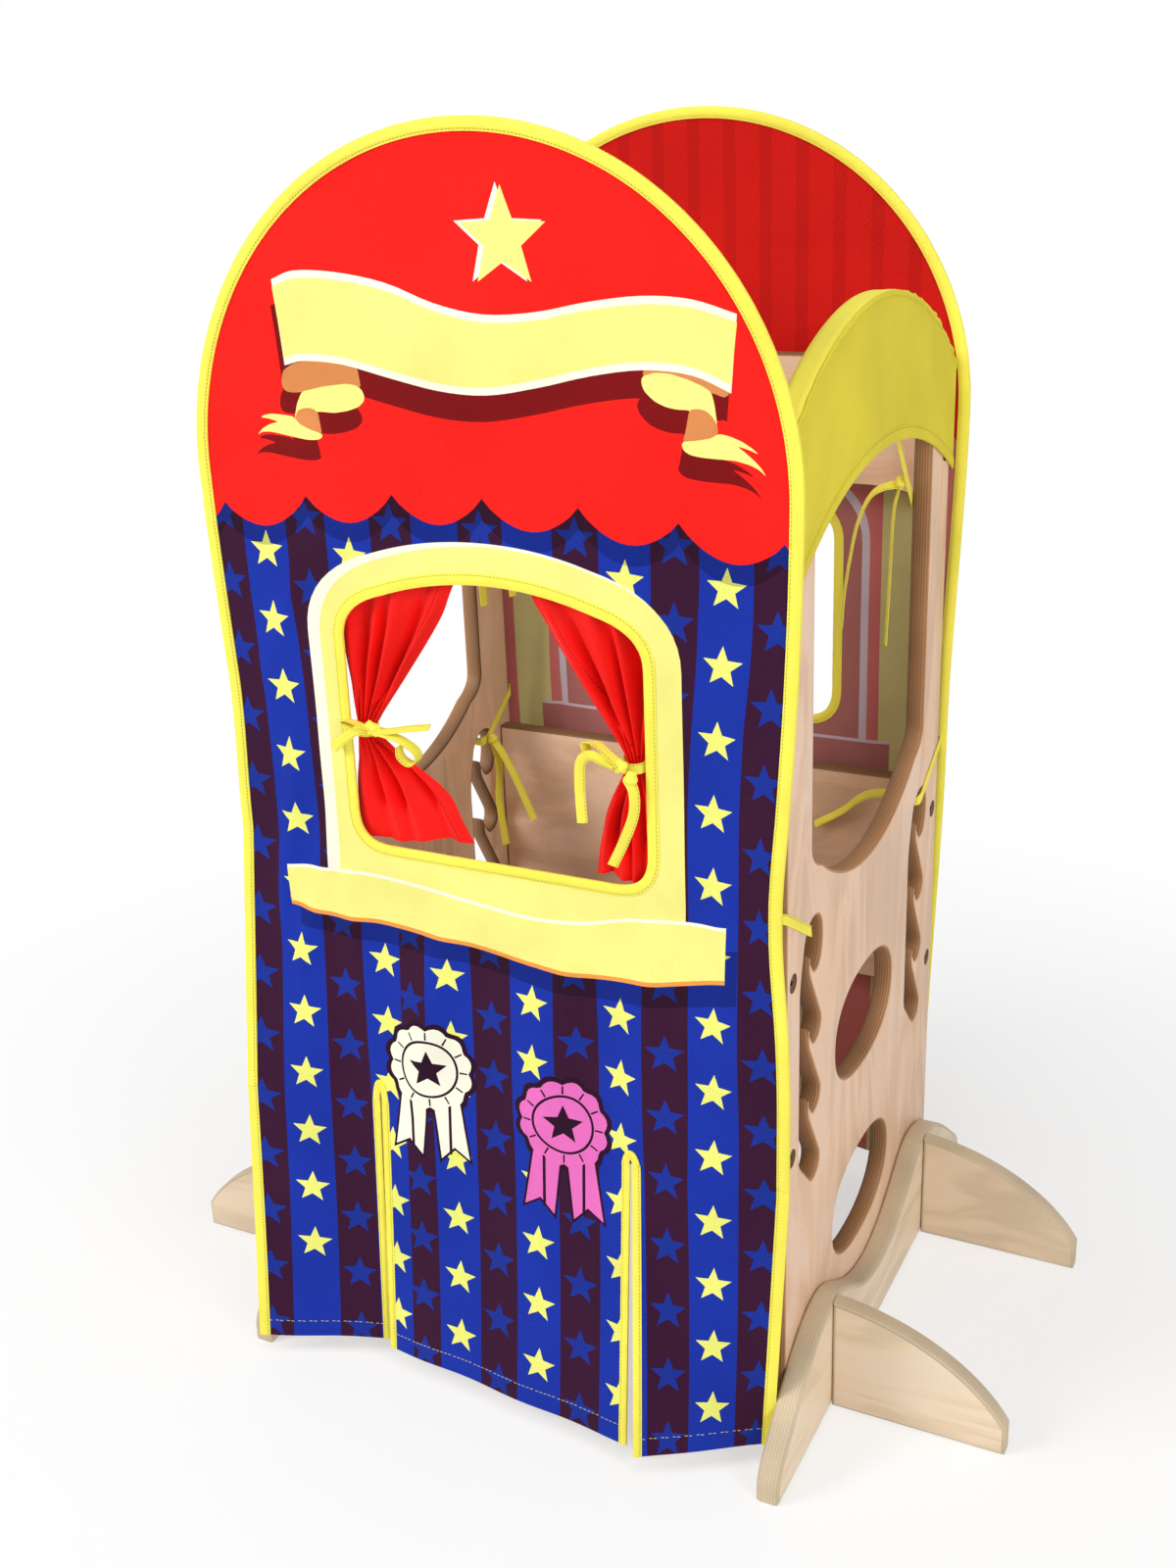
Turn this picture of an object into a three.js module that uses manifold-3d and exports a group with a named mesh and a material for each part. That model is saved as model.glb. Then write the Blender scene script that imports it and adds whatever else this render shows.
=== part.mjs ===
// Puppet theater stand: a child's plywood climbing tower dressed with a printed cloth theater.
// Millimetres, +Z up, floor at z = 0. The theater's front faces -Y, and +X is its right as a viewer sees it.

import * as THREE from 'three';
import { mergeVertices } from 'three/addons/utils/BufferGeometryUtils.js';
import Module from 'manifold-3d';

const wasm = await Module();
wasm.setup();

// Driving dimensions of the wooden tower
const towerWidth = 526; // over the outer faces of the side panels
const towerDepth = 454;
const panelHeight = 1014; // side panel, floor to the crown of its arch
const panelThickness = 18;
const panelArchRise = 85.2; // crown of its arch above the arch's ends
const seatGap = 0.3; // between pieces that touch on the real stand
const overrun = 5; // how far a cutting shape passes the face that it cuts

// Side window of the tower
const sideWindowPost = 63; // wood left in front of the window and behind it
const sideWindowSill = 511; // lowest point of the curved sill
const sideWindowSillRadius = 232;
const sideWindowCornerRadius = 26;
const sideWindowHeadWidth = 78; // wood left between the window and the arch
const cornerShare = 1 / 3; // how far a corner's curve stays below its square corner, as a share of its radius

// Leaf shaped holes, ladder slots
const leafHalfHeight = 52;
const leafFrontWood = 43; // wood left between a leaf hole and the slot in front of it
const leafRearWood = 52.7; // and the slot behind it
const leafHeights = [346, 149];
const slotWidth = 55;
const slotPitch = 71.1;
const slotNotches = 4;
const slotBottom = 247.4;
const slotFrontInset = 36; // front slot, panel's front edge to the slot's straight edge
const slotRearInset = 42.3; // rear slot's notches to the panel's rear edge

// Cross pieces between the side panels
const railInset = 8; // outer face of a rail behind the edge of the side panel
const railTop = 936;
const railBottom = 810;
const railFlare = 10; // how far a rail's lower edge drops at its ends
const railFlareLength = 60;
const lowerPanelTop = 507;
const lowerPanelHeight = 237;
const crossThickness = 18;

// Connector screws, whose heads sit in counterbores of the side panels
const screwHeadRadius = 7.5;
const screwHeadHeight = 3;
const screwSocketRadius = 3;
const screwSocketDepth = 2;
const screwShankRadius = 3;
const screwLength = 52;
const screwFit = 0.4; // radial clearance round a screw
const counterboreRadius = 8.5;
const counterboreDepth = 5;
const panelScrewHeights = [302, 474.5];
const railScrewHeights = [846, 908];

// Stabilizers
const boardThickness = 22;
const boardReach = 302; // half its length
const boardLobeHeight = 118;
const boardWaistHeight = 62;
const boardEndHeight = 26;
const boardLobeOffset = 150; // lobe's crown from the middle of the board
const boardEndShares = [0.5, 1.5]; // of the end height: where the end's rounding starts and stops
const boardLobeShares = [1.3, 0.72, 0.5]; // of the lobe's offset: the handles of its curves, outer to inner
const finThickness = 18;
const finLength = 166;
const finHeight = 118;
const finTipHeight = 28;
const finCurveShares = [[0.84, 0.62], [0.46, 0.95]]; // handles of a fin's back, of its length and height
const finScrewHeights = [34, 84];
const finScrewDepth = 36; // how far a fin's screws reach into its end

// Cloth theater
const clothThickness = 2.4;
const clothStandoff = 9; // cloth's middle surface in front of the panel's edge
const clothTop = 1170;
const clothArchRadius = 283;
const clothWaist = 273; // half width where the ties draw the cloth in
const tieHeight = 545;
const hingeHeight = 283; // where the flaps begin
const hemHeight = 22;
const rearHemHeight = 28;
const bindingWidth = 20;
const bindingThickness = 7;
const bindingEdgeShare = 0.6; // its thickness at the edges, as a share
const hoopRadius = 2.5;
const hoopFit = 0.3;
const slitTop = 312; // top of the left slit, which runs on above the flaps
const slitWidth = 3;
const slitBindingWidth = 12;
const slitBindingThickness = 4;
const bindingStep = 1.5; // over which a flap thins from its binding to plain cloth
const creaseThickness = 1.2; // of a flap's top edge, on which it folds
const hingeBillow = 18; // how far the cloth leans forward at the flaps' tops
const foldDepth = 4; // soft upright folds
const foldPitch = 118;
const beyondShare = 1.1; // how far a trimming arc runs on past what it trims

// Cloth window, the same in front and rear
const windowHalfWidth = 144;
const windowSill = 552;
const windowCrown = 803;
const windowArchRadius = 312;
const windowTopCorner = 42;
const windowLowCorner = 32;
const windowCornerShare = 1 / 4;
const windowBinding = 14;
const windowBindingThickness = 4;

// Flaps: half of the clearance at a slit, the half widths and the hem's reach in front of the flat cloth
const flapEdges = {
  left: { hinge: [-clothWaist, -138], hem: [-271, -142], billow: [82, 32] },
  middle: { hinge: [-135.6, 120], hem: [-131, 140], billow: [43, 72] },
  right: { hinge: [122.4, clothWaist], hem: [152, 260], billow: [84, 22] },
};

// Covers, curtains and ties
const coverThickness = 2.2;
const coverLowCrown = 886;
const coverLowRadius = 402;
const coverLowOffset = 20; // crown of the lower edge behind the middle
const coverInnerEdge = 946;
const curtainThickness = 5;
const curtainTop = 826;
const curtainTieHeight = 662;
const curtainBottom = 560;
const curtainBack = 9; // curtain's middle surface behind the cloth's
const curtainPleat = 3.5;
const curtainGather = 7; // half height of the gathered part
const strapWidth = 10;
const strapThickness = 1.3;
const upperTieDrop = 8.05; // upper tie below the front corner of the side cover
const lowerTieDrop = 11.3; // lower tie below the head of its slot
const knotSize = 13;
const bowTail = [[0, -4], [16, -26], [24, -66]]; // from the knot's middle, to one side
const bowLoop = [[3, 5], [26, 15], [42, 4], [24, -6], [3, -3]];
const postTails = [[[3, -29], [26, -88]], [[-2, -39], [-4, -118]]]; // away from the post, and down
const lowerTieRise = { front: 30, rear: 20 }; // outer end of a lower tie above its knot

// Worked out from the driving dimensions
const outerX = towerWidth / 2;
const innerX = outerX - panelThickness;
const halfDepth = towerDepth / 2;
const clothY = halfDepth + clothStandoff;
const archCentre = clothTop - clothArchRadius;
const panelArchRadius = (halfDepth * halfDepth + panelArchRise * panelArchRise) / (2 * panelArchRise);
const panelArchCentre = panelHeight - panelArchRadius;
const sideWindowHalfWidth = halfDepth - sideWindowPost;
const crossY = halfDepth - railInset - crossThickness / 2;
const boardInner = outerX + seatGap;
const boardOuter = boardInner + boardThickness;
const slotFront = -halfDepth + slotFrontInset;
const slotRear = halfDepth - slotRearInset - slotWidth;
const leafFront = slotFront + slotWidth + leafFrontWood;
const leafHalfWidth = (slotRear - leafRearWood - leafFront) / 2;
const lowerPanelBottom = lowerPanelTop - lowerPanelHeight;
const clothLow = hingeHeight + creaseThickness / 2 + seatGap; // lower edge of the front cloth, over its flaps

// Colours, roughness and metalness of the finishes
const towerPly = new THREE.MeshStandardMaterial({ color: '#d9bba0', roughness: 0.55 });
const birchPly = new THREE.MeshStandardMaterial({ color: '#e9d2b0', roughness: 0.45 });
const steel = new THREE.MeshStandardMaterial({ color: '#8d8a86', roughness: 0.35, metalness: 1 });
const fibreRod = new THREE.MeshStandardMaterial({ color: '#e6e2d6', roughness: 0.5 });
const frontPrint = new THREE.MeshStandardMaterial({ color: '#1f2f9a', roughness: 0.9 });
const rearPrint = new THREE.MeshStandardMaterial({ color: '#c4202a', roughness: 0.9 });
const yellowCloth = new THREE.MeshStandardMaterial({ color: '#f6ea50', roughness: 0.9 });
const redCloth = new THREE.MeshStandardMaterial({ color: '#f8261f', roughness: 0.85 });

// A solid from loose corner points and triangles, turned so that its faces point out
function solidFrom(points, triangles) {
  let volume = 0;
  for (const [a, b, c] of triangles) {
    volume += points[a].dot(points[b].clone().cross(points[c]));
  }
  const turned = volume < 0 ? triangles.map(([a, b, c]) => [a, c, b]) : triangles;
  return new wasm.Manifold(new wasm.Mesh({
    numProp: 3,
    vertProperties: new Float32Array(points.flatMap((p) => p.toArray())),
    triVerts: new Uint32Array(turned.flat()),
  }));
}

// A solid from a closed three.js geometry
function solidOf(geometry) {
  geometry.deleteAttribute('normal');
  geometry.deleteAttribute('uv');
  const merged = mergeVertices(geometry);
  const place = merged.getAttribute('position');
  const points = [];
  for (let i = 0; i < place.count; i += 1) {
    points.push(new THREE.Vector3().fromBufferAttribute(place, i));
  }
  const triangles = [];
  for (let i = 0; i < merged.index.count; i += 3) {
    const [a, b, c] = [0, 1, 2].map((k) => merged.index.getX(i + k));
    if (a !== b && b !== c && c !== a) triangles.push([a, b, c]);
  }
  return solidFrom(points, triangles);
}

function outlineOf(points) {
  return new THREE.Shape(points.map(([u, v]) => new THREE.Vector2(u, v)));
}

// Outline in the panel's plane, drawn as (y, z), given a thickness from x = low to x = high
function slabAcrossX(shape, low, high, curveSegments = 10) {
  const options = { depth: high - low, bevelEnabled: false, curveSegments };
  const geometry = new THREE.ExtrudeGeometry(shape, options);
  const turn = new THREE.Matrix4().set(0, 0, 1, low, 1, 0, 0, 0, 0, 1, 0, 0, 0, 0, 0, 1);
  return solidOf(geometry.applyMatrix4(turn));
}

// Outline in a cross piece's plane, drawn as (x, z), given a thickness from y = low to y = high
function slabAcrossY(shape, low, high, curveSegments = 10) {
  const options = { depth: high - low, bevelEnabled: false, curveSegments };
  const geometry = new THREE.ExtrudeGeometry(shape, options);
  const turn = new THREE.Matrix4().set(1, 0, 0, 0, 0, 0, -1, high, 0, 1, 0, 0, 0, 0, 0, 1);
  return solidOf(geometry.applyMatrix4(turn));
}

// Round bar along X or Y about a centre
function bar(radius, length, centre, axis, segments = 8) {
  const geometry = new THREE.CylinderGeometry(radius, radius, length, segments);
  if (axis === 'x') geometry.rotateZ(Math.PI / 2);
  geometry.translate(centre.x, centre.y, centre.z);
  return solidOf(geometry);
}

function joined(solids) {
  return solids.reduce((whole, solid) => whole.add(solid));
}

function cut(solid, tools) {
  return tools.reduce((whole, tool) => whole.subtract(tool), solid);
}

function mirroredX(solid) {
  const { vertProperties, triVerts } = solid.getMesh();
  const points = [];
  for (let i = 0; i < vertProperties.length; i += 3) {
    points.push(new THREE.Vector3(-vertProperties[i], vertProperties[i + 1], vertProperties[i + 2]));
  }
  const triangles = [];
  for (let i = 0; i < triVerts.length; i += 3) {
    triangles.push([triVerts[i], triVerts[i + 1], triVerts[i + 2]]);
  }
  return solidFrom(points, triangles);
}

// The whole stand, centred front to back on its own footprint: the hem reaches further than the rear feet
const frontReach = clothY + Math.max(...flapEdges.right.billow) + slitBindingThickness / 2;
const stand = new THREE.Group();
stand.position.y = (frontReach - boardReach) / 2;

function addPiece(name, solid, material) {
  const { vertProperties, triVerts } = solid.getMesh();
  const geometry = new THREE.BufferGeometry();
  geometry.setAttribute('position', new THREE.BufferAttribute(vertProperties, 3));
  geometry.setIndex(new THREE.BufferAttribute(triVerts, 1));
  geometry.computeVertexNormals();
  const mesh = new THREE.Mesh(geometry, material);
  mesh.name = name;
  stand.add(mesh);
}

// A piece on the right and its mirror image on the left
function addPair(name, solid, material) {
  addPiece(`right_${name}`, solid, material);
  addPiece(`left_${name}`, mirroredX(solid), material);
}

// Height of an arc of the given radius and crown at an offset from its middle
function arcHeight(crown, radius, offset) {
  return crown - radius + Math.sqrt(radius * radius - offset * offset);
}

// Side panel outline, window, leaf holes and ladder slots, all drawn as (y, z)
function panelOutline() {
  const shape = new THREE.Shape();
  const angle = Math.asin(halfDepth / panelArchRadius);
  shape.moveTo(-halfDepth, 0);
  shape.lineTo(halfDepth, 0);
  shape.lineTo(halfDepth, arcHeight(panelHeight, panelArchRadius, halfDepth));
  shape.absarc(0, panelArchCentre, panelArchRadius, Math.PI / 2 - angle, Math.PI / 2 + angle, false);
  shape.lineTo(-halfDepth, 0);
  return shape;
}

function sideWindow() {
  const w = sideWindowHalfWidth;
  const r = sideWindowCornerRadius;
  const headRadius = panelArchRadius - sideWindowHeadWidth;
  const headAngle = Math.asin((w - r) / headRadius);
  const sillAngle = Math.asin((w - r) / sideWindowSillRadius);
  const sillCentre = sideWindowSill + sideWindowSillRadius;
  const sillCorner = sillCentre - sideWindowSillRadius * Math.cos(sillAngle);
  const headCorner = panelArchCentre + headRadius * Math.cos(headAngle);
  const hole = new THREE.Path();
  hole.moveTo(w, sillCorner + r);
  hole.lineTo(w, headCorner - r);
  hole.quadraticCurveTo(w, headCorner - r * cornerShare, w - r, headCorner);
  hole.absarc(0, panelArchCentre, headRadius, Math.PI / 2 - headAngle, Math.PI / 2 + headAngle, false);
  hole.quadraticCurveTo(-w, headCorner - r * cornerShare, -w, headCorner - r);
  hole.lineTo(-w, sillCorner + r);
  hole.quadraticCurveTo(-w, sillCorner + r * cornerShare, r - w, sillCorner);
  hole.absarc(0, sillCentre, sideWindowSillRadius, -Math.PI / 2 - sillAngle, -Math.PI / 2 + sillAngle, false);
  hole.quadraticCurveTo(w, sillCorner + r * cornerShare, w, sillCorner + r);
  return hole;
}

function leafHole(centreHeight) {
  const squareness = 2.3; // a little fuller than an ellipse
  const steps = 20;
  const points = [];
  for (let i = 0; i < steps; i += 1) {
    const angle = (2 * Math.PI * i) / steps;
    const reach = (value) => Math.sign(value) * Math.abs(value) ** (2 / squareness);
    points.push(new THREE.Vector2(
      leafFront + leafHalfWidth * (1 + reach(Math.cos(angle))),
      centreHeight + leafHalfHeight * reach(Math.sin(angle)),
    ));
  }
  return new THREE.Path(points);
}

// One notch, from its lowest point up to the tooth above it, as shares of the slot's width and pitch
const notchShares = [[0.61, 0], [0.88, 0.05], [0.98, 0.22], [0.36, 1.03], [0.36, 1.33]];
// Head of the slot over the last notch, back down to its straight edge
const slotHeadShares = [[0.61, 0], [0.88, 0.05], [0.98, 0.3], [0.96, 0.56], [0.82, 0.69], [0.62, 0.74],
  [0.4, 0.7], [0.22, 0.56], [0.05, 0.1], [0, -0.12]];

const slotHead = slotBottom + (slotNotches - 1 + Math.max(...slotHeadShares.map(([, up]) => up))) * slotPitch;

function ladderSlot(front) {
  const points = [];
  for (let notch = 0; notch < slotNotches; notch += 1) {
    const shares = notch < slotNotches - 1 ? notchShares : slotHeadShares;
    for (const [across, up] of shares) {
      points.push(new THREE.Vector2(front + across * slotWidth, slotBottom + (notch + up) * slotPitch));
    }
  }
  points.push(new THREE.Vector2(front, slotBottom + slotPitch / 2));
  return new THREE.Path(points);
}

// Where the screws pass a side panel: into the cross pieces' ends, and from inside into the fins, as [y, z]
const crossScrews = [-crossY, crossY].flatMap((y) => (
  [...panelScrewHeights, ...railScrewHeights].map((z) => [y, z])));
const finScrews = [-boardLobeOffset, boardLobeOffset].flatMap((y) => finScrewHeights.map((z) => [y, z]));

// Hole for a screw's shank, or for its head
function screwHole(x, y, z, length, radius = screwShankRadius) {
  return bar(radius + screwFit, length, new THREE.Vector3(x, y, z), 'x');
}

function sidePanel() {
  const outline = panelOutline();
  outline.holes.push(sideWindow(), ...leafHeights.map(leafHole));
  outline.holes.push(ladderSlot(slotFront), ladderSlot(slotRear));
  const holes = [...crossScrews, ...finScrews].map(([y, z]) => (
    screwHole((outerX + innerX) / 2, y, z, 2 * panelThickness)));
  const counterbores = crossScrews.map(([y, z]) => (
    screwHole(outerX, y, z, 2 * counterboreDepth, counterboreRadius)));
  return cut(slabAcrossX(outline, innerX, outerX, 8), [...holes, ...counterbores]);
}

// Screw along X with a hexagon socket; seat is the x under its head, and way is 1 where the head is outside
function screw(seat, y, z, length, way) {
  const floor = screwHeadHeight - screwSocketDepth;
  const profile = [[0, -length], [screwShankRadius, -length], [screwShankRadius, 0], [screwHeadRadius, 0],
    [screwHeadRadius, screwHeadHeight], [screwSocketRadius, screwHeadHeight], [screwSocketRadius, floor],
    [0, floor]];
  const geometry = new THREE.LatheGeometry(profile.map(([r, h]) => new THREE.Vector2(r, h)), 8);
  geometry.rotateZ(-way * Math.PI / 2);
  geometry.translate(seat, y, z);
  return solidOf(geometry);
}

// Cross piece between the side panels, drilled in its ends; side is -1 at the front, 1 at the rear
function crossPiece(shape, side, screwHeights) {
  const y = side * crossY;
  const holes = [-innerX, innerX].flatMap((x) => (
    screwHeights.map((z) => screwHole(x, y, z, 2 * screwLength))));
  return cut(slabAcrossY(shape, y - crossThickness / 2, y + crossThickness / 2), holes);
}

function lowerPanelShape() {
  const reach = innerX - seatGap;
  return outlineOf([[-reach, lowerPanelBottom], [reach, lowerPanelBottom], [reach, lowerPanelTop],
    [-reach, lowerPanelTop]]);
}

function railShape() {
  const reach = innerX - seatGap;
  const low = railBottom - railFlare;
  const shape = new THREE.Shape();
  shape.moveTo(-reach, low);
  shape.quadraticCurveTo(-reach + railFlareLength / 2, railBottom, -reach + railFlareLength, railBottom);
  shape.lineTo(reach - railFlareLength, railBottom);
  shape.quadraticCurveTo(reach - railFlareLength / 2, railBottom, reach, low);
  shape.lineTo(reach, railTop);
  shape.lineTo(-reach, railTop);
  return shape;
}

addPair('side_panel', sidePanel(), towerPly);
for (const [name, side] of [['front', -1], ['rear', 1]]) {
  addPiece(`${name}_upper_rail`, crossPiece(railShape(), side, railScrewHeights), towerPly);
  addPiece(`${name}_lower_panel`, crossPiece(lowerPanelShape(), side, panelScrewHeights), towerPly);
}

const crossScrewSeat = outerX - counterboreDepth + seatGap;
for (const [end, y] of [['front', -crossY], ['rear', crossY]]) {
  for (const [piece, heights] of [['panel', panelScrewHeights], ['rail', railScrewHeights]]) {
    addPair(`${end}_${piece}_lower_screw`, screw(crossScrewSeat, y, heights[0], screwLength, 1), steel);
    addPair(`${end}_${piece}_upper_screw`, screw(crossScrewSeat, y, heights[1], screwLength, 1), steel);
  }
}

// Stabilizer board: two lobes with a waist between them, drawn as (y, z)
function boardOutline() {
  const shape = new THREE.Shape();
  const [roundLow, roundHigh] = boardEndShares.map((share) => share * boardEndHeight);
  const [outer, inner, waist] = boardLobeShares.map((share) => share * boardLobeOffset);
  const crown = boardLobeHeight;
  const shoulder = (boardReach + boardLobeOffset) / 2;
  const shoulderHeight = (crown + boardWaistHeight) / 2;
  shape.moveTo(-boardReach, 0);
  shape.lineTo(boardReach, 0);
  shape.lineTo(boardReach, roundLow);
  shape.quadraticCurveTo(boardReach, boardEndHeight, boardReach - roundLow, roundHigh);
  shape.bezierCurveTo(shoulder, shoulderHeight, outer, crown, boardLobeOffset, crown);
  shape.bezierCurveTo(inner, crown, waist, boardWaistHeight, 0, boardWaistHeight);
  shape.bezierCurveTo(-waist, boardWaistHeight, -inner, crown, -boardLobeOffset, crown);
  shape.bezierCurveTo(-outer, crown, -shoulder, shoulderHeight, roundLow - boardReach, roundHigh);
  shape.quadraticCurveTo(-boardReach, boardEndHeight, -boardReach, roundLow);
  return shape;
}

function stabilizerBoard() {
  const holes = finScrews.map(([y, z]) => screwHole((boardInner + boardOuter) / 2, y, z, 2 * boardThickness));
  return cut(slabAcrossX(boardOutline(), boardInner, boardOuter, 8), holes);
}

function fin(y) {
  const root = boardOuter + seatGap;
  const tip = root + finLength;
  const shape = new THREE.Shape();
  shape.moveTo(root, 0);
  shape.lineTo(tip, 0);
  shape.lineTo(tip, finTipHeight);
  const [low, high] = finCurveShares.map(([along, up]) => [root + along * finLength, up * finHeight]);
  shape.bezierCurveTo(...low, ...high, root, finHeight);
  const holes = finScrewHeights.map((z) => screwHole(root, y, z, 2 * (finScrewDepth + seatGap)));
  return cut(slabAcrossY(shape, y - finThickness / 2, y + finThickness / 2), holes);
}

addPair('stabilizer_board', stabilizerBoard(), birchPly);
const finScrewLength = boardOuter + finScrewDepth - innerX;
for (const [end, y] of [['front', -boardLobeOffset], ['rear', boardLobeOffset]]) {
  addPair(`${end}_fin`, fin(y), birchPly);
  for (const [level, z] of [['lower', finScrewHeights[0]], ['upper', finScrewHeights[1]]]) {
    addPair(`${end}_fin_${level}_screw`, screw(innerX - seatGap, y, z, finScrewLength, -1), steel);
  }
}

// Half width of a printed cloth at a height, over its binding; the rear one hangs down between the boards
function clothHalfWidth(z, side) {
  const ease = (from, to) => THREE.MathUtils.smoothstep(-z, -from, -to);
  const waist = clothArchRadius + (clothWaist - clothArchRadius) * ease(archCentre, tieHeight);
  const tuck = boardInner - 2 * seatGap - clothWaist;
  return side < 0 ? waist : waist + tuck * ease(tieHeight, boardLobeHeight);
}

// Soft upright folds, which fade out towards the window, the edges and the flat arch
function foldAt(x, z) {
  const low = THREE.MathUtils.smoothstep(windowSill - z, 0, windowSill - hingeHeight);
  return foldDepth * low * Math.sin((2 * Math.PI * x) / foldPitch);
}

// How far the front cloth stands in front of its flat plane above the flaps
function frontBillow(x, z) {
  const share = THREE.MathUtils.clamp((windowSill - windowBinding - z) / (windowSill - hingeHeight), 0, 1);
  const fade = Math.sin(Math.PI * Math.min(1, share));
  return hingeBillow * share / (1 - windowBinding / (windowSill - hingeHeight)) + foldAt(x, z) * fade;
}

function rearBillow(x, z) {
  return foldAt(x, z);
}

// Points [x, z] of a line inside the edge of a printed cloth: up one side, over the arch and down the other
function edgeLine(side, low, inset) {
  const legSteps = 6;
  const archSteps = 22;
  const leg = Array.from({ length: legSteps }, (_, i) => {
    const z = low + ((archCentre - low) * i) / legSteps;
    return [clothHalfWidth(z, side) - inset, z];
  });
  const arch = Array.from({ length: archSteps + 1 }, (_, i) => {
    const angle = (Math.PI * i) / archSteps;
    const radius = clothArchRadius - inset;
    return [radius * Math.cos(angle), archCentre + radius * Math.sin(angle)];
  });
  return [...leg, ...arch, ...leg.map(([x, z]) => [-x, z]).reverse()];
}

// Opening of a cloth window grown by an amount all round
function windowOutline(grow, PathKind) {
  const w = windowHalfWidth + grow;
  const top = windowTopCorner + grow;
  const low = windowLowCorner + grow;
  const radius = windowArchRadius + grow;
  const crown = windowCrown + grow;
  const shoulder = w - top;
  const shoulderHeight = arcHeight(crown, radius, shoulder);
  const angle = Math.asin(shoulder / radius);
  const sill = windowSill - grow;
  const path = new PathKind();
  path.moveTo(w, sill + low);
  path.lineTo(w, shoulderHeight - top);
  path.quadraticCurveTo(w, shoulderHeight - top * windowCornerShare, shoulder, shoulderHeight);
  path.absarc(0, crown - radius, radius, Math.PI / 2 - angle, Math.PI / 2 + angle, false);
  path.quadraticCurveTo(-w, shoulderHeight - top * windowCornerShare, -w, shoulderHeight - top);
  path.lineTo(-w, sill + low);
  path.quadraticCurveTo(-w, sill, -w + low, sill);
  path.lineTo(w - low, sill);
  path.quadraticCurveTo(w, sill, w, sill + low);
  return path;
}

// Sheet of cloth as a grid: place(column, row) gives its middle surface, and depth(column, row) its thickness
function clothGrid(columns, rows, place, depth) {
  const points = [];
  for (const side of [-1, 1]) {
    for (let row = 0; row <= rows; row += 1) {
      for (let column = 0; column <= columns; column += 1) {
        const point = place(column, row);
        point.y += side * depth(column, row) / 2;
        points.push(point);
      }
    }
  }
  const across = columns + 1;
  const layer = across * (rows + 1);
  const triangles = [];
  const quad = (a, b, c, d) => triangles.push([a, b, c], [a, c, d]);
  for (let row = 0; row < rows; row += 1) {
    for (let column = 0; column < columns; column += 1) {
      const at = row * across + column;
      quad(at, at + 1, at + across + 1, at + across);
      quad(layer + at + across, layer + at + across + 1, layer + at + 1, layer + at);
    }
  }
  for (let column = 0; column < columns; column += 1) {
    const top = rows * across + column;
    quad(column + 1, column, layer + column, layer + column + 1);
    quad(top, top + 1, layer + top + 1, layer + top);
  }
  for (let row = 0; row < rows; row += 1) {
    const left = row * across;
    const right = left + columns;
    quad(left, left + across, layer + left + across, layer + left);
    quad(right + across, right, layer + right, layer + right + across);
  }
  return solidFrom(points, triangles);
}

const clothColumns = 14;
const clothRows = 14;

// Printed cloth: a folded sheet trimmed to its outline, with the window cut out and its bound edge sewn on
function printedCloth(side, low, billow, slits) {
  const reach = clothArchRadius + overrun;
  const sheet = clothGrid(clothColumns, clothRows, (column, row) => {
    const x = -reach + (2 * reach * column) / clothColumns;
    const z = low - overrun + ((clothTop + 2 * overrun - low) * row) / clothRows;
    return new THREE.Vector3(x, side * (clothY + billow(x, z)), z);
  }, () => clothThickness);
  const outline = outlineOf(edgeLine(side, low, bindingWidth + seatGap));
  outline.holes.push(windowOutline(windowBinding / 2, THREE.Path));
  const deep = clothY + hingeBillow + foldDepth + overrun;
  const trim = slabAcrossY(outline, side < 0 ? -deep : halfDepth, side < 0 ? -halfDepth : deep, 6);
  return cut(sheet.intersect(trim).add(windowTape(side)), slits);
}

function slitCut() {
  const x = (flapEdges.left.hinge[1] + flapEdges.middle.hinge[0]) / 2;
  const half = slitWidth / 2;
  const low = hingeHeight - overrun;
  const shape = outlineOf([[x - half, low], [x + half, low], [x, slitTop]]);
  return slabAcrossY(shape, -clothY - hingeBillow - 2 * overrun, -halfDepth);
}

// Section carried along stations {at, across, out}: across and out are the section's two directions
function sweep(stations, section, closed = false) {
  const points = stations.flatMap(({ at, across, out }) => section.map(([u, v]) => (
    at.clone().addScaledVector(across, u).addScaledVector(out, v))));
  const ring = section.length;
  const count = stations.length;
  const triangles = [];
  for (let i = 0; i < (closed ? count : count - 1); i += 1) {
    for (let k = 0; k < ring; k += 1) {
      const a = i * ring + k;
      const b = i * ring + ((k + 1) % ring);
      const c = ((i + 1) % count) * ring + ((k + 1) % ring);
      const d = ((i + 1) % count) * ring + k;
      triangles.push([a, b, c], [a, c, d]);
    }
  }
  if (!closed) {
    const last = (count - 1) * ring;
    for (let k = 1; k < ring - 1; k += 1) {
      triangles.push([0, k + 1, k], [last, last + k, last + k + 1]);
    }
  }
  return solidFrom(points, triangles);
}

// Stations along the edge of a printed cloth, with the directions across the binding and out of the cloth
function edgeStations(side, low, inset, billow) {
  const out = new THREE.Vector3(0, side, 0);
  return edgeLine(side, low, inset).map(([x, z]) => {
    const across = z > archCentre ? new THREE.Vector3(x, 0, z - archCentre) : new THREE.Vector3(x, 0, 0);
    return { at: new THREE.Vector3(x, side * (clothY + billow(x, z)), z), across: across.normalize(), out };
  });
}

function roundSection(radius, sides) {
  return Array.from({ length: sides }, (_, i) => {
    const angle = (2 * Math.PI * (i + 0.5)) / sides;
    return [radius * Math.cos(angle), radius * Math.sin(angle)];
  });
}

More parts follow.
